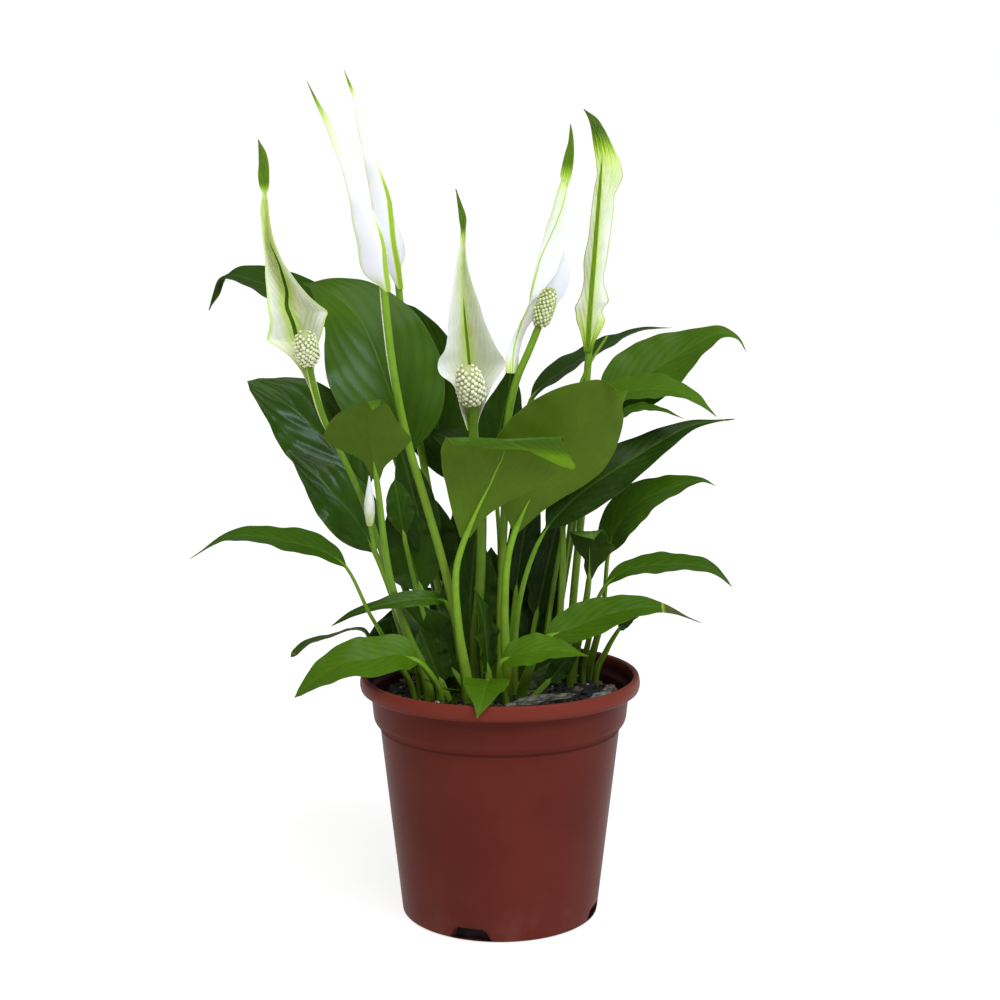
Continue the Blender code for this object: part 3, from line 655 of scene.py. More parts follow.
def leaf_finish(name, wax):
    """The skin of a leaf.  wax is how much of its upper face shines."""
    mat, surface, place = new_finish(name, 0.4, Specular_IOR_Level=0.09, Coat_Roughness=0.21, Coat_IOR=1.42)
    spot = place.painted("place_on_leaf")
    run, across, under = spot.part(0), spot.part(1), spot.part(2)
    vein = place.painted("vein_run")
    phase, rib_gap, tone = vein.part(0), vein.part(1), vein.part(2)
    swell = phase.arches()
    vein_line = swell.between(0.0, 0.22, 1.0, 0.0)
    streaks = vein.stretched(5.0, 900.0, 0.0).grain(1.0, 3.0)
    fine_lines = (phase * (7 * math.pi)).sum("SINE") ** 2.0
    cloud = place.grain(45.0, 3.0)
    speckle = place.grain(700.0, 4.0, 0.6)
    # painted light and shade: the quilted pillows between the side veins are lighter, the valleys along the
    # veins darker
    relief_shade = (swell - 0.6) * under.between(0.2, 0.8, 0.07, 0.02)
    tone_here = tone + (cloud - 0.5) * 0.26 + (streaks - 0.5) * 0.14 + relief_shade
    upper = tone_here.node("ValToRGB", {"stops": (
        (0.0, (0.006, 0.018, 0.0008)), (0.35, (0.024, 0.066, 0.0014)), (0.65, (0.056, 0.128, 0.0030)),
        (1.0, (0.150, 0.290, 0.006)))}, {"Fac": tone_here})
    upper = (vein_line * 0.10).blend(upper, (0.080, 0.150, 0.008))
    upper = rib_gap.between(0.0002, 0.0008, 0.26, 0.0).blend(upper, (0.085, 0.170, 0.012))
    lower = tone_here.node("ValToRGB", {"stops": (
        (0.0, (0.010, 0.022, 0.001)), (0.5, (0.066, 0.122, 0.0042)), (1.0, (0.170, 0.300, 0.010)))},
        {"Fac": tone_here})
    lower = (vein_line * 0.02).blend(lower, (0.040, 0.075, 0.004))
    skin_colour = under.between(0.2, 0.8).blend(upper, lower)
    edge = across.sum("ABSOLUTE").between(0.975, 0.999)
    skin_colour = (edge * 0.3).blend(skin_colour, (0.12, 0.20, 0.03))
    crisp = speckle.between(0.3, 0.7).blend((0.030, 0.017, 0.008), (0.11, 0.065, 0.030))
    withered = run.between(2.06, 2.9).blend((0.070, 0.080, 0.020), crisp)
    dry = run.between(2.0, 2.1).blend((0.30, 0.36, 0.02), withered)
    skin_colour = run.between(1.94, 2.0).blend(skin_colour, dry)
    skin_colour = (speckle.between(0.4, 0.75) * 0.14).blend(skin_colour, (0.050, 0.100, 0.006))
    place.plug(skin_colour, surface.inputs["Base Color"])
    gloss = under.between(0.2, 0.8, 0.0, 0.16) + speckle.between(0.2, 0.8, 0.34, 0.42) + streaks * 0.06
    place.plug(gloss, surface.inputs["Roughness"])
    place.plug(under.between(0.2, 0.8, wax, 0.06), surface.inputs["Coat Weight"])
    bumps = fine_lines * 0.12 + speckle * 0.25 + swell * under.between(0.2, 0.8, 0.4, 0.05)
    raise_by(place, surface, bumps, 0.00012, 0.8)
    return mat


leaf_skin = leaf_finish("leaf_skin", 0.05)
leaf_satin = leaf_finish("leaf_skin_satin", 0.10)
leaf_waxy = leaf_finish("leaf_skin_waxy", 0.22)

BLADE_RINGS = 11  # how many of a leaf's rings in the CAD belong to its blade


def blade_frames(rings):
    """Centre, sideways axis, upward axis, half-width and fold of each ring of a blade."""
    span = np.linalg.norm(rings[:, :, None] - rings[:, None], axis=3)
    widest = span.max(axis=(1, 2)).argmax()
    a, b = divmod(int(span[widest].argmax()), 6)
    if rings[widest, a, 0] < rings[widest, b, 0]:
        a, b = b, a
    others = [c for c in range(6) if c not in (a, b)]
    keel = min(((span[widest, i, j], i, j) for i in others for j in others if i < j))[1:]
    margins = (rings[:, a] + rings[:, b]) / 2
    low = (rings[:, keel[0]] + rings[:, keel[1]]) / 2
    up, side = unit(margins - low), unit(rings[:, a] - rings[:, b])
    centres = low + up * 0.9 * MM
    half = np.linalg.norm(rings[:, a] - rings[:, b], axis=1) / 2
    fold = ((margins - centres) * up).sum(axis=1) / half
    return centres, side, up, half, fold


def cad_frames(name):
    """Petiole centres and radii, and blade frames, read from a leaf's CAD solid."""
    rings = ring_columns(name, 6)
    return *above_ground(rings[:-BLADE_RINGS]), *blade_frames(rings[-BLADE_RINGS:])


def bent_frames(foot, elbow, tip, split, half, facing, count=26, fold=0.3, radius=1.0):
    """The same for an inner leaf with no solid of its own: a bent line from foot to tip, in mm.

    split: run where the blade starts.  half: its widest half-width.  facing: where its face looks.
    """
    a, b, c = (np.array(p, float) * MM for p in ((*foot, SOIL_TOP / MM - 3), elbow, tip))
    s = np.linspace(0, 1, count)[:, None]
    line = a * (1 - s) ** 2 + 2 * b * s * (1 - s) + c * s**2
    first = int(split * count)
    along = unit(np.gradient(line, axis=0))[first + 1:]
    side = unit(np.cross(along, np.array(facing, float)))
    side *= np.sign(side[:, :1].mean())
    up = np.cross(side, along)
    up *= np.sign((up @ np.array(facing, float)).mean())
    r = np.linspace(0.1, 1, len(along))
    widths = half * MM * np.sin(np.pi * r**0.85) ** 0.75
    stem_radii, folds = np.full(first + 1, radius * MM), np.full(len(r), fold)
    return line[:first + 1], stem_radii, line[first + 1:], side, up, widths, folds


def sheet_normals(points):
    """Which way a sheet of rows x columns of points faces."""
    return unit(np.cross(np.gradient(points, axis=1), np.gradient(points, axis=0)))


def both_sides(over, under=None):
    """Columns of a sheet's upper side, and after them those of its underside, the other way round."""
    return np.concatenate([over, (over if under is None else under)[:, ::-1]], axis=1)


def margin_waves(tn, right, waves, faster, shift):
    """Two sets of waves along a sheet, which lie differently on its left and its right half."""
    return (np.sin(2 * np.pi * waves * tn + shift[0] + right * shift[1])
            + 0.5 * np.sin(2 * np.pi * waves * faster * tn + shift[2] + right * shift[3]))


def turn_over(points, seat, line, ahead, toward, degrees, radius):
    """Bends what lies ahead of a crease towards one side, round a small radius."""
    line = unit(np.array(line, float))
    away = unit(ahead - line * (ahead @ line))
    face = np.cross(line, away)
    face = face * np.sign(face @ np.array(toward, float))
    gap = points - seat
    q, kept, h = gap @ away, gap @ line, gap @ face
    bend = np.clip(q / radius, 0, math.radians(degrees))
    flat = np.maximum(q, 0) - radius * bend
    q_bent = np.where(q > 0, (radius - h) * np.sin(bend) + flat * np.cos(bend), q)
    h_bent = np.where(q > 0, radius - (radius - h) * np.cos(bend) + flat * np.sin(bend), h)
    return seat + kept[..., None] * line + q_bent[..., None] * away + h_bent[..., None] * face


ROW_STEP, COLUMN_STEP, STEM_STEP = 1.15 * MM, 1.05 * MM, 3.5 * MM
LEAF_HALF = 0.19 * MM  # half of a blade's thickness
GROOVE_WIDE = 0.8 * MM
YELLOWING = 0.03  # part of a blade that is yellow, just before its dried tip


def near(tn, across, at_run, at_across, spread_run, spread_across):
    """How close the points of a sheet are to a place on it, from 0 to 1."""
    return np.exp(-((tn - at_run) / spread_run) ** 2 - ((across - at_across) / spread_across) ** 2)


def dried_run(tn, brown):
    """Run along a blade: 0 to 1 where it is fresh, to 2 where it yellows, 2 to 3 where it has dried."""
    if not brown:
        return tn
    fresh = 1 - brown
    dried = np.where(tn > fresh - YELLOWING, 1 + (tn - fresh + YELLOWING) / YELLOWING, tn)
    return np.where(tn > fresh, 2 + share((tn - fresh) / brown), dried)


def quilted(tn, wn, half, phase, relief):
    """Height of the pillows between a blade's side veins.  They die out towards its edges."""
    arch = np.abs(np.sin(np.pi * phase)) ** 0.75 - 0.55
    calm = share(wn * 9) * share((1 - wn) * 6) * share((1 - tn) * 7) * share(tn * 14)
    return relief * MM * arch * calm * share(half / 0.006)


def add_stem(made, midrib, lie_at, radius_at, start, long, reach, rows, keel, tone):
    """Adds a leaf's petiole, and the rib that it becomes under the blade, up to reach."""
    count = max(20, int(start / STEM_STEP))
    part = np.concatenate([np.zeros(count), np.linspace(0, reach, max(16, rows // 2))])
    at = np.concatenate([np.linspace(0, start, count, endpoint=False), start + long * part[count:]])
    lie = unit(lie_at(np.maximum(at, start)))
    sheath = 1 + 0.35 * np.exp(-((at - 0.006) / 0.03) ** 2)
    thin = keel * (1 - part / reach) + (1 - keel) * np.exp(-(part / 0.13) ** 2) + 0.03
    radii = radius_at(np.minimum(at, start)) * sheath * thin
    sink = share(part * 12) ** 1.5 * (radii * 0.72 + 0.16 * MM)
    place = np.stack([share(at / start), np.full_like(part, tone), part / reach], axis=1)
    tube(made, midrib(at) - lie * sink[:, None], radii, lie, place, 1, sides=10, groove=0.22, squash=0.9)


def grow_leaf(name, tone=0.5, *, veins=11.0, relief=0.26, wave=0.5, waves=3.0, brown=0.0, stem_tone=0.4,
              outline=(), crease=(), tints=(), pulls=(), flat=1.0, keel=0.3, keel_end=0.9, stem_thick=1.0,
              widen=1.0, level=False, early=0.0, moved=(), frames=None, skin=leaf_skin, seed=0):
    """Petiole and blade of one leaf.

    tone, stem_tone: how light the greens of the blade and of the petiole are; the blades' low tones
    are painted shade on leaves at the back, under others and deep in the plant.  veins: distance
    between side veins along the midrib, mm.  relief: height of the quilting, mm.  wave, waves:
    height in mm and number of the margin's waves.  brown: part of the tip that has dried.
    outline: (run, left, right) mm, for a blade that isn't even; level: those widths run level, not
    square to the midrib.  widen: what the CAD's widths are multiplied by.  flat: share of the CAD's
    fold that stays.  crease: (run, line, degrees, radius mm, length beyond it mm, lean mm), where the
    tip is turned over to the front.  early: the blade starts that many mm sooner.  moved: (run, x,
    y, z) mm, how far the midrib is moved from the CAD's.  tints and pulls: local changes of tone
    and of place, (run, across, spread along, spread across, amount); the dark tint on leaf_lower_left
    is a painted shadow, where leaf_glossy_left lies over it.  keel: share of the petiole's
    thickness that the midrib keeps along the blade, until the run keel_end.  stem_thick: what the
    petiole's thickness is multiplied by.  frames: the lines of a leaf that the CAD doesn't have.
    """
    centres, radii, centre_b, side_b, up_b, half_b, fold_b = frames or cad_frames(name)
    if level:
        side_b = np.broadcast_to([1.0, 0.0, 0.0], side_b.shape)
        level_up = np.cross(np.gradient(centre_b, axis=0), side_b)
        up_b = unit(level_up) * np.sign((level_up * up_b).sum())
    every = np.concatenate([centres, centre_b])
    knots = lengths_along(every)
    start = knots[len(centres) - 1] - early * MM
    long = knots[-1] - start
    blade_knots = knots[len(centres) - 1:]

    def midrib(at):
        line = smooth(knots, every, at)
        if moved:
            run, *moves = np.array(moved, float).T
            line = line + np.stack([np.interp((at - start) / long, run, m * MM) for m in moves], axis=1)
        return line

    def over_blade(values, at):
        return smooth(blade_knots, np.concatenate([values[:1], values]), at)

    def petiole_radius(at):
        return smooth(knots[:len(centres)], radii, at) * stem_thick

    # where each row of the blade lies, how it faces and how wide it is
    rows = max(34, int(long / ROW_STEP))
    t = np.linspace(0, 1, rows) ** 0.93
    at = start + long * t
    centre = midrib(at)
    side, up = unit(over_blade(side_b, at)), unit(over_blade(up_b, at))
    fold = over_blade(fold_b, at) * flat
    if outline:
        run, *widths = np.array(outline, float).T
        halves = [np.maximum(smooth(run, width * MM, t), 0.00012) for width in widths]
    else:
        half = np.maximum(smooth(blade_knots, np.concatenate([[0.0], half_b]) ** 1.4, at), 0) ** (1 / 1.4)
        half = np.maximum(half, radii[-1] * 0.9 * (1 - t) ** 4 + 0.00022)
        half[-3:] *= (0.85, 0.6, 0.3)
        halves = [half * widen, half * widen]
    wide = max(h.max() for h in halves)
    if crease:
        fold_run, line, degrees, radius, beyond, lean = crease
        k = int(np.searchsorted(t, fold_run))
        ahead = unit(centre[k] - centre[k - 4])
        far = (t[k:] - t[k]) / (1 - t[k])
        bent = np.radians(degrees) * radius / beyond
        centre[k:] = centre[k] + ahead * (far * beyond * MM)[:, None]
        centre[k:] += side[k] * (share((far - bent) / (1 - bent)) * lean * MM)[:, None]
        side[k:], up[k:], fold[k:] = side[k], up[k], fold[k]

    # the sheet across those rows: its fold, waves, quilting and the groove over the midrib
    columns = max(9, int(wide / COLUMN_STEP))
    w = np.linspace(-1, 1, 2 * columns + 1)
    w = np.sign(w) * np.abs(w) ** 1.12
    wn, tn = np.abs(w)[None], t[:, None]
    half = np.where(w[None] < 0, halves[0][:, None], halves[1][:, None])
    right = w[None] > 0
    shift = np.random.default_rng(seed + len(name)).uniform(0, 2 * np.pi, 4)
    sway = margin_waves(tn, right, waves, 2.3, shift)
    ramp = np.sin(np.pi * share(tn)) ** 0.5
    phase = (long * tn - wide * (1.5 * wn + 1.1 * wn**2)) / (veins * MM) + right * 0.37
    groove = -0.4 * MM * np.exp(-((w[None] * half) / GROOVE_WIDE) ** 2) * (1 - tn)
    lift = fold[:, None] * half * (0.72 * wn**1.5 + 0.28 * wn)
    lift = lift + wave * MM * sway * wn**2 * ramp * share(half / 0.008)
    lift = lift + quilted(tn, wn, half, phase, relief) + groove
    mid = centre[:, None] + side[:, None] * (w[None] * half)[..., None] + up[:, None] * lift[..., None]
    for *spot, push in pulls:
        mid = mid + near(tn, w[None], *spot)[..., None] * np.array(push) * MM
    normal = sheet_normals(mid)
    normal *= np.sign((normal * up[:, None]).sum(axis=2, keepdims=True).mean())
    if crease:
        mid = turn_over(mid, centre[k], line, ahead, (0, -1, 0), degrees, radius * MM)
        flip = np.sign((normal[:k] * sheet_normals(mid[:k])).sum(axis=2).mean())
        normal = flip * sheet_normals(mid)

    # both faces of the blade with what the finish reads from them, then the petiole
    sheet = (LEAF_HALF * (1 - 0.6 * wn**6) * np.clip(half / 0.002, 0.35, 1))[..., None]
    blade = both_sides(mid + normal * sheet, mid - normal * sheet)
    wide_w = both_sides(w[None])
    under = both_sides(np.zeros((1, len(w))), np.ones((1, len(w))))
    full = np.ones((rows, 2 * len(w)))
    tone_field = tone + 0 * full
    for *spot, amount in tints:
        tone_field = tone_field + amount * near(tn, wide_w, *spot)
    made = Skin()
    made.sheet(blade, np.stack([dried_run(tn, brown) * full, wide_w * full, under * full], axis=2),
               np.stack([both_sides(phase), np.abs(wide_w) * both_sides(half), tone_field], axis=2))
    reach = min(crease[0] * 0.96, keel_end) if crease else keel_end
    add_stem(made, midrib, lambda at: over_blade(up_b, at), petiole_radius, start, long, reach, rows, keel,
             stem_tone)
    nodes = () if frames else (name,)
    return made.build(name.replace("leaf_", "grown_leaf_"), [skin, stem_flesh], "leaf_green", *nodes)


# The low tones of the leaves at the back and under others, such as leaf_shaded_back and leaf_shaded_right,
# are painted shade.
grow_leaf("leaf_far_back_left", 0.22, veins=9.0, wave=0.4, widen=1.12, stem_thick=0.75, seed=1,
          pulls=((0.77, 0, 0.09, 3.0, (-2.2, 0, 2.2)), (0.75, 1.0, 0.11, 0.9, (3.4, 0, -0.6)),
                 (0.86, 1.0, 0.10, 0.9, (3.4, 0, -1.0))), tints=((1.0, 0, 0.2, 2.0, -0.1),))
grow_leaf("leaf_long_dark", 0.16, veins=8.0, seed=2)
grow_leaf("leaf_behind_great", 0.20, stem_thick=0.75, seed=3)
grow_leaf("leaf_great", 0.47, veins=17.0, relief=0.24, wave=0.8, waves=2.2, skin=leaf_satin, seed=4,
          pulls=((1.0, 0, 0.09, 3.0, (1.5, 0, -4.6)), (0.74, 0.9, 0.14, 0.6, (0.8, 0, 2.2))))
grow_leaf("leaf_back_middle", 0.16, stem_thick=0.75, seed=5)
grow_leaf("leaf_back_right", 0.53, veins=9.0, stem_thick=0.75, seed=6)
grow_leaf("leaf_shaded_back", 0.08, stem_thick=0.75, seed=7)
grow_leaf("leaf_striped", 0.60, veins=6.0, relief=0.3, stem_thick=0.75, seed=8)
grow_leaf("leaf_glossy_left", 0.30, veins=17.0, relief=0.6, wave=0.6, skin=leaf_waxy, seed=9)
# painted shadow: its tip is toned darker where leaf_glossy_left lies over it
grow_leaf("leaf_lower_left", 0.32, veins=14.0, relief=0.5, skin=leaf_waxy, seed=10,
          tints=((0.95, 0, 0.3, 2.0, -0.28),))
grow_leaf("leaf_right_sliver", 0.40, stem_thick=0.75, seed=11)
grow_leaf("leaf_shaded_right", 0.06, veins=9.0, brown=0.05, early=10.0, stem_thick=0.75, seed=12)
grow_leaf("leaf_right_upper", 0.42, veins=8.0, brown=0.03, stem_thick=0.75, seed=13)
grow_leaf("leaf_twisted", 0.10, seed=14, crease=(0.74, (1.0, 0, 0.1), 115, 0.9, 5.0, 0.0), level=True,
          flat=0.4, outline=(
              (0, 0.9, 0.9), (0.06, 0.9, 1.7), (0.23, 2.3, 4.5), (0.32, 2.1, 7.0), (0.41, 4.3, 8.8),
              (0.48, 6.0, 11.0), (0.57, 7.3, 7.8), (0.66, 8.2, 7.4), (0.74, 8.8, 6.0), (0.85, 6.0, 3.5),
              (1.0, 0.1, 0.1)),
          tints=((0.92, 0, 0.12, 2.0, 0.55),))
grow_leaf("leaf_right_arching", 0.40, veins=7.0, stem_thick=0.75, seed=15)
grow_leaf("leaf_low_inner", 0.40, veins=5.0, brown=0.2, seed=16)
grow_leaf("leaf_broad_olive", 0.47, veins=15.0, relief=0.03, wave=0.4, stem_tone=0.85, keel=0.1,
          keel_end=0.3, seed=17, early=12.0, outline=(
              (0, 1.5, 1.5), (0.05, 6.0, 3.6), (0.12, 13.0, 6.2), (0.2, 19.5, 9.0), (0.27, 23.4, 11.6),
              (0.36, 25.8, 15.6), (0.45, 26.0, 19.0), (0.55, 24.6, 20.4), (0.64, 22.4, 19.8),
              (0.74, 19.2, 17.6), (0.84, 13.6, 13.4), (0.92, 7.0, 8.8), (0.97, 2.4, 4.0), (1.0, 0.1, 0.1)),
          tints=((0.45, 0.3, 0.3, 0.9, 0.07), (0.97, 0, 0.05, 2.0, 0.3)))
grow_leaf("leaf_folded_olive", 0.50, veins=14.0, relief=0.04, wave=0.3, stem_tone=0.9, keel=0.7, flat=0.25,
          seed=18, level=True, early=6.0, crease=(0.658, (1.0, 0, 0.035), 166, 0.7, 19.5, 19.5), outline=(
              (0, 2.2, 2.0), (0.09, 6.4, 4.0), (0.136, 8.6, 5.4), (0.227, 12.9, 11.5), (0.318, 17.0, 19.5),
              (0.39, 20.2, 24.4), (0.50, 24.2, 24.4), (0.563, 25.6, 23.0), (0.618, 25.2, 21.8),
              (0.662, 24.6, 21.6), (0.680, 22.0, 20.6), (0.709, 18.0, 18.8), (0.747, 12.6, 16.4),
              (0.765, 5.0, 15.4), (0.780, 2.2, 14.6), (0.829, 1.8, 11.5), (0.9145, 1.5, 6.5),
              (0.973, 1.2, 3.0), (1.0, 0.1, 0.1)),
          moved=(
              (0, 0, 0, 0), (0.36, 0, 0, 0), (0.50, -0.6, 0, 0.8), (0.59, -2.2, 0, 2.8),
              (0.66, -3.8, 0, 4.5), (1, -3.8, 0, 4.5)),
          tints=((0.92, 0.2, 0.12, 1.4, 0.62), (0.76, -0.6, 0.06, 0.8, 0.14)))
grow_leaf("leaf_cupped_left", 0.42, veins=14.0, relief=0.03, wave=0.3, stem_tone=0.5, keel=0.1,
          keel_end=0.45, flat=0.5, seed=19, level=True, crease=(0.76, (1.0, 0, -0.02), 155, 0.7, 4.9, 0.0),
          outline=(
              (0, 0.9, 0.9), (0.06, 2.3, 2.3), (0.127, 3.2, 3.9), (0.21, 5.8, 8.5), (0.27, 11.8, 11.5),
              (0.325, 17.0, 14.4), (0.38, 18.7, 16.6), (0.44, 18.2, 14.8), (0.53, 15.9, 12.0),
              (0.62, 11.8, 10.0), (0.70, 6.6, 8.2), (0.76, 2.6, 5.2), (0.88, 1.0, 3.6), (1.0, 0.1, 0.3)),
          tints=((0.95, 0, 0.14, 2.0, 0.4),))
grow_leaf("leaf_left_arching", 0.38, veins=7.0, stem_tone=0.2, stem_thick=0.8, seed=20)
grow_leaf("leaf_curled_left", 0.28, veins=5.5, brown=0.05, seed=21, outline=(
    (0, 0.8, 0.8), (0.15, 2.4, 2.4), (0.4, 3.1, 3.0), (0.7, 2.9, 2.8), (0.9, 2.4, 2.2), (0.97, 1.6, 1.5),
    (1, 0.3, 0.3)))
grow_leaf("leaf_narrow_left", 0.38, veins=5.5, seed=22, outline=(
    (0, 0.8, 0.8), (0.1, 2.6, 2.6), (0.3, 3.8, 3.6), (0.45, 4.0, 3.4), (0.58, 2.6, 2.2), (0.75, 2.1, 1.8),
    (0.9, 1.2, 1.0), (1, 0.1, 0.1)), tints=((0.85, 0, 0.3, 2.0, -0.22),))
grow_leaf("leaf_over_rim_left", 0.60, veins=7.0, seed=23)
grow_leaf("leaf_low_right", 0.50, veins=8.0, brown=0.26, seed=24)
grow_leaf("leaf_low_front", 0.60, veins=6.0, seed=25)
grow_leaf("leaf_over_rim_front", 0.60, veins=5.5, seed=26)
grow_leaf("leaf_seedling", 0.55, veins=3.0, relief=0.08, wave=0.15, seed=27)
# painted shade: the heart leaves and the inner leaves below are given very dark tones, for the shade deep in
# the plant
HEART_LEAVES = ((0.20, 2.0), (0.26, 1.9), (0.12, 2.1), (0.12, 1.9), (0.17, 1.7), (0.17, 1.6))  # tone, widen
for number, (tone, widen) in enumerate(HEART_LEAVES, 1):
    grow_leaf(f"leaf_heart_{number}", tone, veins=8.0, widen=widen, wave=1.2, seed=30 + number)
INNER_LEAVES = (  # foot, elbow, tip, where the blade starts, half-width, facing, tone
    ((-20, 2), (-38, 4, 134), (-45, 9, 186), 0.74, 6.2, (0.3, -1, 0.4), 0.30),
    ((-16, 20), (-24, 26, 140), (-33, 27, 178), 0.52, 9.0, (0.2, -1, 0.1), 0.16),
    ((-12, -6), (-22, -2, 112), (-43, 6, 132), 0.30, 12.0, (0.5, -1, -0.1), 0.20),
    ((-20, -12), (-26, -10, 104), (-34, -6, 124), 0.35, 7.5, (0.2, -1, 0.2), 0.26),
    ((-8, 28), (-14, 34, 130), (-19, 36, 172), 0.45, 7.5, (-0.2, -1, 0), 0.05),
    ((8, 22), (14, 24, 112), (26, 26, 148), 0.28, 9.0, (-0.3, -1, 0), 0.05),
    ((0, 26), (2, 30, 118), (7, 32, 154), 0.35, 9.5, (0.1, -1, 0), 0.04),
    ((2, 4), (12, 8, 101), (33, 14, 111), 0.25, 7.0, (0, -1, 0.5), 0.16),
    ((12, -4), (22, -2, 100), (34, 4, 116), 0.40, 4.5, (0, -1, 0.3), 0.22),
    ((-26, 8), (-36, 14, 110), (-46, 20, 128), 0.35, 7.5, (0.3, -1, 0.1), 0.12),
    ((3, 22), (7, 25, 148), (15, 19, 184), 0.42, 7.0, (0.1, -1, 0), 0.08),
    ((10, 20), (18, 23, 138), (27, 20, 172), 0.38, 7.0, (-0.2, -1, 0), 0.06),
    ((-4, 24), (-6, 28, 120), (-10, 30, 160), 0.35, 5.5, (0.2, -1, 0), 0.05),
    ((-16, 18), (-30, 20, 150), (-43, 12, 200), 0.50, 8.5, (0.2, -1, 0), 0.14),
)
for number, (foot, elbow, tip, split, half, facing, tone) in enumerate(INNER_LEAVES, 1):
    grow_leaf(f"inner_leaf_{number}", tone, veins=8.0, wave=0.9, seed=50 + number,
              frames=bent_frames(foot, elbow, tip, split, half, facing))

centres, radii = above_ground(ring_columns("leaf_furled", 8))
knots = lengths_along(centres)
at = np.linspace(0, knots[-1], 70)
furled = Skin()
tube(furled, smooth(knots, centres, at), smooth(knots, radii, at), np.array([0.0, -1.0, 0.05]),
     np.stack([at / at[-1], np.full_like(at, 0.5), 0 * at], axis=1), groove=0.3)
furled.build("grown_leaf_furled", [stem_flesh], "leaf_green", "leaf_furled")


# ---- the spathes: one white sail behind each spike, thin and slightly see-through ----
# The sail clasps the stalk at its foot and runs out to a long green tip.  A green midrib and
# faint side veins show through the white, and on two of them a pale wing runs down the stalk.

petal, surface, place = new_finish("spathe_petal", 0.5, Specular_IOR_Level=0.15)
surface.inputs["Subsurface Weight"].default_value = 0.3
surface.inputs["Subsurface Radius"].default_value = (0.0022, 0.0026, 0.0014)
surface.inputs["Subsurface Scale"].default_value = 1.0
spot = place.painted("place_on_leaf")
shaded_grey, rib_depth, cream = spot.part(0), spot.part(1), spot.part(2)
vein = place.painted("vein_run")
phase, rib_gap, greening = vein.part(0), vein.part(1), vein.part(2)
swell = phase.arches()
vein_line = swell.between(0.0, 0.30, 1.0, 0.0)
mottled = place.grain(160.0, 4.0)
streaky = vein.stretched(4.0, 0.0, 0.0).grain(1.0, 3.0)
# the cream colour is partly the sail's own tint and partly painted shade in its hollow
white = cream.blend(mottled.between(0.3, 0.7).blend((0.91, 0.92, 0.92), (0.95, 0.955, 0.95)),
                    mottled.between(0.3, 0.7).blend((0.42, 0.45, 0.23), (0.53, 0.55, 0.35)))
# painted shade: a lilac-tinted darkening where a half of the sail turns away from the light
white = shaded_grey.blend(white, (0.56, 0.55, 0.61))
white = (vein_line * (cream * 0.6 + 0.01)).blend(white, (0.42, 0.52, 0.16))
rib_gap = rib_gap.sum("ABSOLUTE")
midrib = rib_gap.between(0.45, 1.0, 1.0, 0.0)
halo = rib_gap.between(0.9, 4.0, 0.34, 0.0) * cream
green_part = greening + (streaky - 0.5) * 0.15 * greening.between(0.02, 0.3)
green_part = green_part.sum("MAXIMUM", (midrib * rib_depth).sum("MAXIMUM", halo))
greened = green_part.node("ValToRGB", {"stops": (
    (0.0, (1.0, 1.0, 1.0)), (0.3, (0.72, 0.86, 0.32)), (0.6, (0.30, 0.47, 0.03)),
    (0.8, (0.115, 0.215, 0.006)), (1.0, (0.034, 0.080, 0.004)))}, {"Fac": green_part})
white_left = green_part.between(0.25, 0.6).blend(white, (1.0, 1.0, 1.0))
petal_colour = greened.node("Mix", {"data_type": "RGBA", "blend_type": "MULTIPLY"},
                            {0: 1.0, 6: greened, 7: white_left}, out=2)
place.plug(petal_colour, surface.inputs["Base Color"])
raise_by(place, surface, swell * (cream * 0.8 + 0.06) + mottled * 0.3, 0.00022)


SAIL_STEP = 0.6 * MM
SAIL_HALF = 0.20 * MM  # half of a sail's thickness
SAIL_WAVES = 2.5  # along each margin
SAIL_VEINS = 7.0 * MM  # distance between side veins


def wing(skin, number, reach, side, wide, greening=0.35, cream=0.6):
    """The pale wing of a spathe that runs down its stalk, until reach mm below the stalk's top."""
    line, radii = stalk_lines[number]
    rows = 40
    far = lengths_along(line[::-1])[::-1]
    here = np.linspace(0, reach, rows) * MM
    way = np.stack([np.interp(-here, -far, line[:, k]) for k in range(3)], axis=1)
    girth = np.interp(-here, -far, radii)
    along = unit(np.gradient(way, axis=0))
    out = unit(np.cross(along, [0.0, -1.0, 0.0]))
    out = out * np.sign(out[:, :1]) * side + np.array([0, -0.35, 0])
    fade = np.sin(np.pi * share(np.linspace(0.08, 1, rows))) ** 0.5
    w = np.linspace(0, 1, 7)
    width = girth[:, None] * 0.7 + wide * MM * w[None] * fade[:, None]
    mid = way[:, None] + out[:, None] * width[..., None]
    thick = np.cross(along, out)[:, None] * (0.16 * MM * (1 - 0.5 * w[None] ** 4))[..., None]
    full = np.ones((rows, 2 * len(w)))
    skin.sheet(both_sides(mid + thick, mid - thick), np.stack([0 * full, 0.5 * full, cream * full], axis=2),
               np.stack([0.5 * full, 9.0 * full, greening * full], axis=2))


def sail_spine(node):
    """Middle line of a spathe's CAD solid, half-way between its front and its back corners."""
    rings = ring_columns(node, 8)
    big = rings[np.linalg.norm(np.ptp(rings, axis=1), axis=1).argmax()]
    first = min(range(4), key=lambda c: sum(np.linalg.norm(big[(c + k) % 8] - big[(c - k) % 8])
                                            for k in (1, 2, 3)))
    return (rings[:, (first + 2) % 8] + rings[:, (first - 2) % 8]) / 2


def roll_over(over, tn, w, left, out, ahead):
    """Rolls a sail's left half back over its front, where and as far as over says."""
    wn = np.abs(w)[None]
    run, ends = np.array(over, float).T
    rolled = share((tn - run[0]) / 0.05) * share((run[-1] - tn) / 0.05) * (w[None] < 0)
    end = np.interp(tn[:, 0], run, ends * MM)[:, None]
    rolled_out = np.where(wn < 0.5, -left * np.sin(np.pi * wn),
                          -left + (left + end) * (1 - np.cos(np.pi * (wn - 0.5))))
    rolled_ahead = np.where(wn < 0.5, 1 - np.cos(np.pi * wn), 1 + 0.5 * np.sin(np.pi * (wn - 0.5)))
    return (out * (1 - rolled) + rolled_out * rolled,
            ahead * (1 - rolled) + 1.3 * MM * rolled_ahead * rolled)


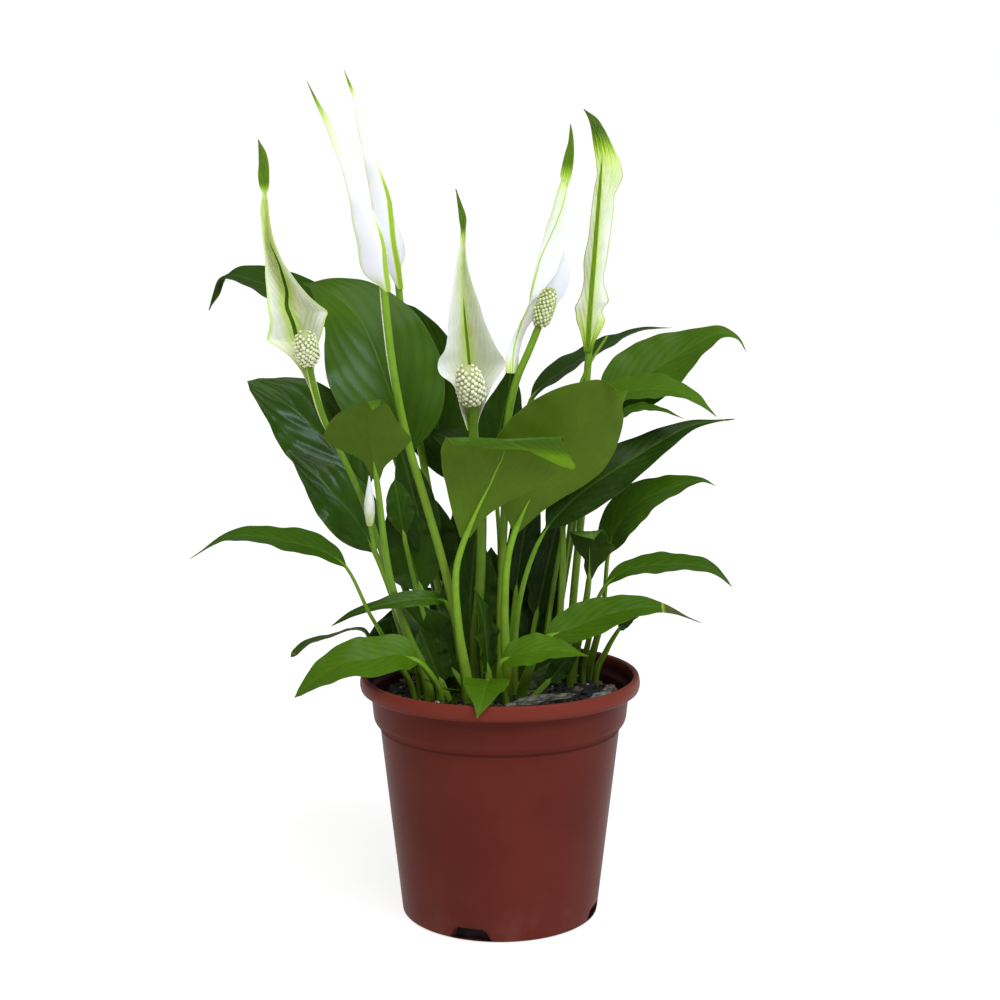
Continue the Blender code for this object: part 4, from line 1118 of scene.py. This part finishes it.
def sail_green(tn, across, shift, tip, tip_green, tip_soft, neck, edge, foot):
    """How green a sail is: the deepest of its tip, neck, margins and foot, streaked along its fibres."""
    to_tip = share((tn - tip + tip_soft / 2) / tip_soft) * tip_green
    to_neck = neck * share((tn - 0.45) / 0.3)
    to_edge = edge * share((np.abs(across) - 0.86) / 0.14) * share(tn * 8)
    to_foot = foot[0] * share(1 - tn / foot[1]) * share(np.abs(across) * 1.6 + 0.2)
    green = np.maximum(np.maximum(to_tip, to_neck), np.maximum(to_edge, to_foot))
    fibres = (np.sin(17 * across + shift[0] + 3 * tn) + np.sin(29 * across + shift[1] - 4 * tn)
              + np.sin(47 * across + shift[2]))
    return share(green * (1 + 0.2 * fibres * share(1.15 - green)))


def sail(number, margins, *, tip=0.8, tip_green=0.9, tip_soft=0.08, neck=0.0, cream=0.3, rib=(0.9, 0.6, 0.7),
         rib_line=((0, 0), (1, 0)), over=(), edge=0.0, foot=(0.45, 0.08), shaded_grey=(0, 0), wave=0.4, wings=(),
         seed=0):
    """One spathe along the middle of its CAD solid.

    margins: (run, left, right, left swing, right swing): level widths in mm, and the degrees that
    each half is swung forward.  tip, tip_green, tip_soft: run where the green tip starts, how deep
    its green is and over what run it comes up.  neck: yellow-green before it.  cream: how much cream
    colour the white has; towards the middle it is deepened as painted shade in the sail's hollow.
    rib: the midrib's half-width in mm, the run where it ends and how deep its green
    is.  rib_line: (run, mm), how far the midrib wanders to the right of the middle.  over: (run, mm),
    for a left margin that rolls back over the front, how far to the right of the middle it ends.
    edge: how green the margins are.  foot: how green the foot is, and up to what run.  grey:
    painted shade, how far the left and the right half are greyed below their middle.  wave: height
    of the margin's waves, mm.  wings: reach mm, side (-1 left, 1 right), width mm, and its greening and
    cream.
    """
    node = f"spathe_{number}"
    spine = sail_spine(node)
    knots = lengths_along(spine)
    long = knots[-1]
    rows = int(long / SAIL_STEP)
    t = np.linspace(0, 1, rows)
    middle = smooth(knots, spine, long * t)
    along = unit(np.gradient(middle, axis=0))
    side = np.broadcast_to([1.0, 0.0, 0.0], along.shape)
    forward = unit(np.cross(side, along))
    run, *rest = np.array(margins, float).T
    left, right = (np.maximum(smooth(run, width * MM, t), 0.00015)[:, None] for width in rest[:2])
    swings = [np.radians(np.interp(t, run, swing))[:, None] for swing in rest[2:]]
    w = np.linspace(-1, 1, 49)
    wn, tn = np.abs(w)[None], t[:, None]
    half = np.where(w[None] < 0, left, right)
    swing = np.where(w[None] < 0, swings[0], swings[1])
    half = half / np.where(np.abs(swing) < 1.3, np.cos(swing), 1.0)
    out = np.sign(w)[None] * half * np.cos(swing) * wn
    ahead = half * np.sin(swing) * wn**1.6
    if over:
        out, ahead = roll_over(over, tn, w, left, out, ahead)
    shift = np.random.default_rng(seed + 40).uniform(0, 2 * np.pi, 4)
    sway = margin_waves(tn, w[None] > 0, SAIL_WAVES, 2.1, shift)
    sweep = np.minimum(0.014, half * 1.3)
    phase = (long * tn - sweep * (1.9 * wn + 0.8 * wn**2)) / SAIL_VEINS + (w[None] > 0) * 0.4
    run, wander = np.array(rib_line, float).T
    rib_gap = out - smooth(run, wander * MM, t)[:, None]
    ahead = ahead + wave * MM * sway * wn**2 * np.sin(np.pi * tn) ** 0.6 * share(half / 0.006)
    ahead = ahead + 0.10 * cream * MM * (np.abs(np.sin(np.pi * phase)) - 0.5) * share((1 - wn) * 4)
    ahead = ahead - 0.5 * MM * np.exp(-(rib_gap / GROOVE_WIDE) ** 2) * (1 - tn)
    mid = middle[:, None] + side[:, None] * out[..., None] + forward[:, None] * ahead[..., None]
    normal = sheet_normals(mid)
    normal *= np.sign((normal[:, 20:29] * forward[:, None]).sum())
    rib_swell = 1 + 1.5 * np.exp(-(rib_gap / (0.7 * MM)) ** 2) * (1 - 0.7 * tn)
    sheet = (SAIL_HALF * rib_swell * (1 - 0.6 * wn**8))[..., None]
    full = np.ones((rows, 2 * len(w)))
    wide_w = both_sides(w[None])
    green = sail_green(tn, wide_w, shift, tip, tip_green, tip_soft, neck, edge, foot)
    # painted shade: the halves are greyed below their middle, more towards the margins
    painted_shade = np.where(wide_w < 0, shaded_grey[0], shaded_grey[1]) * share((0.55 - tn) / 0.2) * np.abs(wide_w) ** 0.5
    rib_half = rib[0] * MM * np.clip((rib[1] - tn) / 0.25, 0.35, 1) * (1 - 0.6 * tn)
    rib_green = rib[2] * share((rib[1] - tn) / 0.15)
    # partly painted shade: the sail's cream deepens in its hollow and fades to white at the margins, which
    # catch the light
    cream_and_hollow_shade = cream * (1 - 0.8 * np.abs(wide_w) ** 3)
    skin = Skin()
    skin.sheet(both_sides(mid + normal * sheet, mid - normal * sheet),
               np.stack([painted_shade * full, rib_green * full, cream_and_hollow_shade * full], axis=2),
               np.stack([both_sides(phase), both_sides(rib_gap) / rib_half, green], axis=2))
    for measures in wings:
        wing(skin, number, *measures)
    return skin.build(f"sail_{number}", [petal], "spathe_white", node)


sail(1, (
    (0, 1.4, 1.2, 50, 50), (0.05, 2.4, 1.4, 50, 50), (0.09, 3.6, 2.4, 45, 50), (0.135, 6.6, 4.1, 35, 50),
    (0.18, 11.0, 6.3, 28, 45), (0.212, 13.9, 7.6, 22, 40), (0.25, 12.9, 9.2, 25, 34),
    (0.3, 11.2, 11.2, 32, 25), (0.333, 10.4, 13.2, 36, 18), (0.36, 9.4, 11.4, 38, 22),
    (0.395, 7.9, 9.5, 40, 28), (0.445, 5.9, 8.0, 45, 36), (0.495, 4.2, 6.8, 50, 42),
    (0.545, 2.6, 5.3, 50, 48), (0.595, 1.9, 4.2, 45, 50), (0.64, 1.8, 3.0, 40, 50),
    (0.685, 1.9, 2.2, 30, 50), (0.73, 2.1, 1.5, 20, 40), (0.77, 1.8, 1.1, 10, 30),
    (0.797, 1.1, 0.6, 10, 20), (0.82, 2.0, 1.5, 10, 10), (0.865, 2.3, 2.2, 10, 0), (0.91, 1.5, 2.6, 0, 0),
    (0.955, 0.8, 2.2, 0, 0), (1, 0.1, 0.1, 0, 0)),
    tip=0.80, neck=0.42, cream=0.9, rib=(1.7, 0.72, 1.0), edge=0.42, seed=1,
    wings=((30.0, -1, 0.9), (18.0, 1, 0.5)), rib_line=(
        (0, 0), (0.12, -0.5), (0.25, -2.7), (0.345, -3.1), (0.415, 0.2), (0.49, 2.0), (0.545, 2.6),
        (0.62, 1.0), (0.72, 0), (1, 0)))
sail(2, (
    (0, 1.4, 0.8, 0, -60), (0.03, 3.8, 1.0, -10, -60), (0.06, 8.0, 1.0, -12, -60),
    (0.1, 9.9, 1.0, -14, -60), (0.15, 10.5, 0.8, -16, -60), (0.22, 10.4, 0.8, -18, -60),
    (0.305, 9.6, 0.8, -18, -60), (0.425, 6.2, 0.8, -18, -60), (0.5, 4.6, 0.8, -20, -60),
    (0.6, 2.3, 1.0, -20, -40), (0.72, 1.3, 1.5, -10, -20), (0.84, 1.0, 1.4, 0, -10), (0.9, 0.8, 0.7, 0, 0),
    (1, 0.1, 0.1, 0, 0)),
    tip=0.84, tip_green=0.85, neck=0.22, cream=0.0, rib=(1.3, 0.40, 0.58), edge=0.34, shaded_grey=(0.35, 0.2),
    wave=0.6, tip_soft=0.2, seed=2, wings=((58.0, -1, 0.7, 0.12, 0.0),))
sail(3, (
    (0, 1.5, 0.9, 0, -20), (0.05, 3.6, 1.0, -8, -20), (0.1, 5.4, 1.4, -12, -20), (0.15, 6.6, 3.8, -12, -20),
    (0.2, 7.4, 4.4, -15, -20), (0.25, 7.8, 3.5, -15, -25), (0.3, 8.0, 1.6, -15, -40),
    (0.4, 8.0, 0.9, -16, -60), (0.5, 6.6, 0.8, -18, -60), (0.65, 4.0, 0.7, -18, -60),
    (0.75, 2.6, 0.7, -15, -40), (0.88, 0.9, 0.9, 0, 0), (0.95, 0.5, 0.6, 0, 0), (1, 0.1, 0.1, 0, 0)),
    tip=0.90, tip_green=0.75, neck=0.10, cream=0.0, rib=(1.9, 0.62, 0.6), edge=0.2, shaded_grey=(0.25, 0.55),
    wave=0.6, seed=3)
sail(4, (
    (0, 2.2, 1.8, 60, 60), (0.045, 3.6, 2.6, 58, 58), (0.09, 5.0, 4.6, 54, 54), (0.14, 6.0, 7.4, 48, 48),
    (0.195, 8.4, 9.8, 40, 42), (0.235, 12.4, 12.2, 34, 36), (0.285, 13.2, 14.8, 32, 30),
    (0.305, 12.6, 14.6, 34, 30), (0.34, 10.2, 12.6, 38, 34), (0.39, 8.7, 10.4, 42, 38),
    (0.44, 8.0, 8.6, 46, 42), (0.49, 7.2, 6.9, 48, 46), (0.54, 6.3, 5.7, 50, 48), (0.59, 5.2, 4.1, 50, 50),
    (0.64, 4.2, 2.8, 50, 50), (0.69, 3.2, 1.7, 45, 50), (0.735, 2.5, 1.0, 40, 45),
    (0.783, 1.7, 0.7, 30, 30), (0.833, 1.3, 0.8, 10, 20), (0.883, 1.5, 1.6, 0, 10), (0.93, 1.1, 1.0, 0, 0),
    (1, 0.1, 0.1, 0, 0)),
    tip=0.80, neck=0.16, cream=0.8, rib=(1.5, 0.66, 0.85), edge=0.06, seed=4, rib_line=(
        (0, 0), (0.3, -0.4), (0.6, -1.2), (0.75, -0.4), (1, 0)))
sail(5, (
    (0, 3.6, 1.6, 20, 0), (0.065, 3.8, 1.6, 20, 0), (0.11, 3.1, 1.7, 20, 0), (0.16, 2.4, 2.0, 25, 0),
    (0.21, 1.3, 3.4, 30, 0), (0.26, 0.9, 9.4, 40, 0), (0.308, 1.3, 11.9, 40, -5),
    (0.358, 2.1, 12.9, 40, -8), (0.41, 2.7, 12.0, 40, -10), (0.458, 3.2, 9.0, 40, -8),
    (0.505, 3.3, 6.5, 40, 0), (0.555, 3.6, 4.5, 40, 10), (0.605, 3.9, 2.4, 40, 10),
    (0.653, 3.5, 1.2, 35, 20), (0.7, 3.4, 0.8, 30, 20), (0.745, 3.0, 0.7, 20, 10), (0.793, 3.2, 1.5, 10, 0),
    (0.838, 2.9, 1.8, 0, 0), (0.885, 2.1, 1.8, 0, 0), (0.93, 0.9, 1.5, 0, 0), (0.975, 0.4, 0.8, 0, 0),
    (1, 0.1, 0.1, 0, 0)),
    tip=0.78, tip_soft=0.14, neck=0.2, cream=0.2, shaded_grey=(0.0, 0.75), seed=5, rib=(0.75, 0.95, 0.5),
    rib_line=((0, -0.8), (0.3, -1.3), (0.5, -2.0), (0.56, -1.1), (0.65, 0), (0.75, 0.3), (1, 0)),
    over=((0.27, 0.4), (0.34, 3.0), (0.41, 6.0), (0.5, 6.4), (0.56, 4.5), (0.62, 2.3), (0.7, 0.9),
          (0.8, 0.8)))
sail(6, (
    (0, 1.8, 2.0, 0, 0), (0.033, 2.4, 2.5, 0, 0), (0.083, 3.9, 4.9, -10, -10), (0.13, 5.8, 6.4, -15, -15),
    (0.155, 6.2, 5.0, -20, -20), (0.18, 6.8, 5.4, -20, -20), (0.204, 5.8, 7.3, -22, -15),
    (0.228, 4.9, 6.6, -25, -20), (0.278, 4.1, 4.4, -30, -30), (0.373, 5.0, 4.7, -32, -32),
    (0.467, 4.2, 4.8, -32, -34), (0.567, 4.4, 5.0, -30, -34), (0.64, 4.2, 4.8, -25, -34),
    (0.67, 4.0, 6.0, -20, -30), (0.708, 3.5, 7.4, -15, -20), (0.755, 4.0, 6.4, -10, -15),
    (0.803, 4.5, 4.4, -10, -15), (0.853, 4.2, 3.0, -10, -10), (0.905, 3.0, 2.4, -5, 0),
    (0.965, 0.9, 2.2, 0, 0), (1, 0.1, 0.1, 0, 0)),
    tip=0.79, tip_green=1.0, tip_soft=0.2, neck=0.26, cream=0.55, rib=(1.9, 0.9, 0.78), edge=0.8,
    foot=(0.85, 0.2), wave=0.8, seed=6, rib_line=((0, -0.2), (0.3, -0.6), (0.8, -1.6), (1, 0)))


# ---- the spadices: a fleshy spike in the hollow of each sail, set all over with tiny flowers ----
# The flowers are low knobs in crossing spirals, cream when ripe and greener when young.

knob, surface, place = new_finish("spadix_knobs", 0.55, IOR=1.38)
surface.inputs["Subsurface Weight"].default_value = 0.25
surface.inputs["Subsurface Radius"].default_value = (0.0015, 0.0015, 0.0008)
surface.inputs["Subsurface Scale"].default_value = 1.0
spot = place.painted("place_on_leaf")
ripe, crown = spot.part(0), spot.part(1)
cream = ripe.blend((0.36, 0.43, 0.10), (0.80, 0.80, 0.55))
# painted shade: the feet of the knobs take a darker green, for the shade between them; on young spikes it is
# greener as well
shaded_gaps = ripe.blend((0.20, 0.27, 0.04), (0.42, 0.45, 0.18))
dusting = place.grain(900.0, 3.0)
dusted = (dusting.between(0.3, 0.7) * 0.25).blend(cream, (0.92, 0.90, 0.74))
place.plug(crown.between(0.25, 0.85).blend(shaded_gaps, dusted), surface.inputs["Base Color"])
raise_by(place, surface, dusting, 0.0001)


def spike_axis(node, number):
    """Foot, direction, length and half-width of a spike, from its stalk's top to its CAD solid's far end."""
    foot = stalk_lines[number][0][-1]
    points = np.array([v.co[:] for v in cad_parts[node].data.vertices])
    tip = points[np.linalg.norm(points - foot, axis=1).argmax()]
    axis = unit(points.mean(axis=0) - foot)
    return foot, axis, float((tip - foot) @ axis), np.linalg.norm(np.cross(points - foot, axis), axis=1).max()


SPADIX_REACH = (0.0, 0.06, 0.2, 0.4, 0.65, 0.85, 0.96, 1.0)
SPADIX_WIDTH = (0.30, 0.62, 0.92, 1.0, 0.96, 0.78, 0.5, 0.2)
KNOBS = 150
GOLDEN_ANGLE = math.radians(137.508)  # the turn from one knob to the next, as plants grow them


def spadix_width(reach):
    """Half-width of a spike at a share of its length, against its widest."""
    return np.interp(reach, SPADIX_REACH, SPADIX_WIDTH)


def spadix(number, ripe):
    """One spike: its core, and the knobs that sit on it."""
    node = f"spadix_{number}"
    foot, axis, long, fat = spike_axis(node, number)
    side = unit(np.cross(axis, [0.0, 1.0, 0.2]))
    front = np.cross(axis, side)
    skin = Skin()
    t = np.linspace(0, 1, 30)
    body = spadix_width(t) * (fat - 0.7 * MM)
    turn = 2 * np.pi * np.arange(20) / 20
    core = (foot + axis * (long * t)[:, None])[:, None] + body[:, None, None] * (
        side * np.cos(turn)[:, None] + front * np.sin(turn)[:, None])[None]
    skin.sheet(core, np.array([ripe, 0.0, 0.0]), np.zeros(3))
    levels = np.linspace(0.03, 0.985, 400)
    spread = np.cumsum(spadix_width(levels))
    knob_size = math.sqrt(2 * math.pi * fat * 0.86 * long / KNOBS) * 0.53
    dice = np.random.default_rng(60 + number)
    lat, lon = np.linspace(0, 1, 7)[:, None], 2 * np.pi * np.arange(8)[None] / 8
    for k in range(KNOBS):
        s = float(np.interp((k + 0.5) / KNOBS * spread[-1], spread, levels))
        a = k * GOLDEN_ANGLE + dice.normal(0, 0.035)
        height, age = dice.uniform(0.7, 1.25), float(share(ripe + dice.normal(0, 0.12)))
        r = float(spadix_width(s)) * (fat - 0.75 * MM)
        out = side * math.cos(a) + front * math.sin(a)
        slope = (spadix_width(s + 0.02) - spadix_width(s - 0.02)) / 0.04 * fat / long
        stand = unit(out - axis * slope)
        seat = foot + axis * long * s + out * r
        size = knob_size * (0.7 + 0.3 * float(spadix_width(s))) * dice.uniform(0.84, 1.12)
        east = unit(np.cross(axis, stand))
        north = np.cross(stand, east)
        dome = lat * np.pi * 0.52
        spokes = east * np.cos(lon)[..., None] + north * np.sin(lon)[..., None]
        bud = (seat + stand * (np.cos(dome) * size * height)[..., None] * np.ones((1, 8, 1))
               + (np.sin(dome) * size)[..., None] * spokes)
        crown = share(np.cos(dome) * 1.2)[..., None] * np.ones((1, 8, 1))
        skin.sheet(bud, np.concatenate([np.full_like(crown, age), crown, 0 * crown], axis=2), np.zeros(3),
                   caps=(False, True))
    return skin.build(f"spike_{number}", [knob], "spadix_cream", node, sharp=70)


for number, ripe in ((1, 0.85), (2, 0.8), (3, 0.8), (4, 1.0), (5, 0.45), (6, 0.4)):
    spadix(number, ripe)


# ---- the closed bud: a sail still rolled tight round its spike ----
# It stands on the thinnest stalk.  One margin laps over the other in a slow spiral, and the foot
# is a little greener than the white tip.

foot, axis, long, fat = spike_axis("flower_bud", 7)
side = unit(np.cross(axis, [0.0, 1.0, 0.2]))
front = np.cross(axis, side)
t = np.linspace(0, 1, 60)
girth = np.interp(t, (0, 0.08, 0.25, 0.45, 0.7, 0.88, 1.0), (0.45, 0.7, 0.86, 0.85, 0.54, 0.26, 0.08)) * fat
turn = 2 * np.pi * np.arange(36) / 36
lap = ((turn[None] / (2 * np.pi) - 0.6 * t[:, None] + 0.15) % 1.0)
wrap = girth[:, None] * (0.90 + 0.12 * lap**3)
bud = (foot + axis * (long * t)[:, None])[:, None] + wrap[..., None] * (
    side * np.cos(turn)[:, None] + front * np.sin(turn)[:, None])[None]
rolled = Skin()
ones = np.ones_like(lap)
rolled.sheet(bud, np.stack([0 * ones, 0 * ones, np.clip(0.9 - t[:, None], 0, 0.7) * ones], axis=2),
             np.stack([lap * 3, 9 * ones, 0.3 * share(1 - 3 * t[:, None]) * ones], axis=2))
rolled.build("rolled_bud", [petal], "spathe_white", "flower_bud")
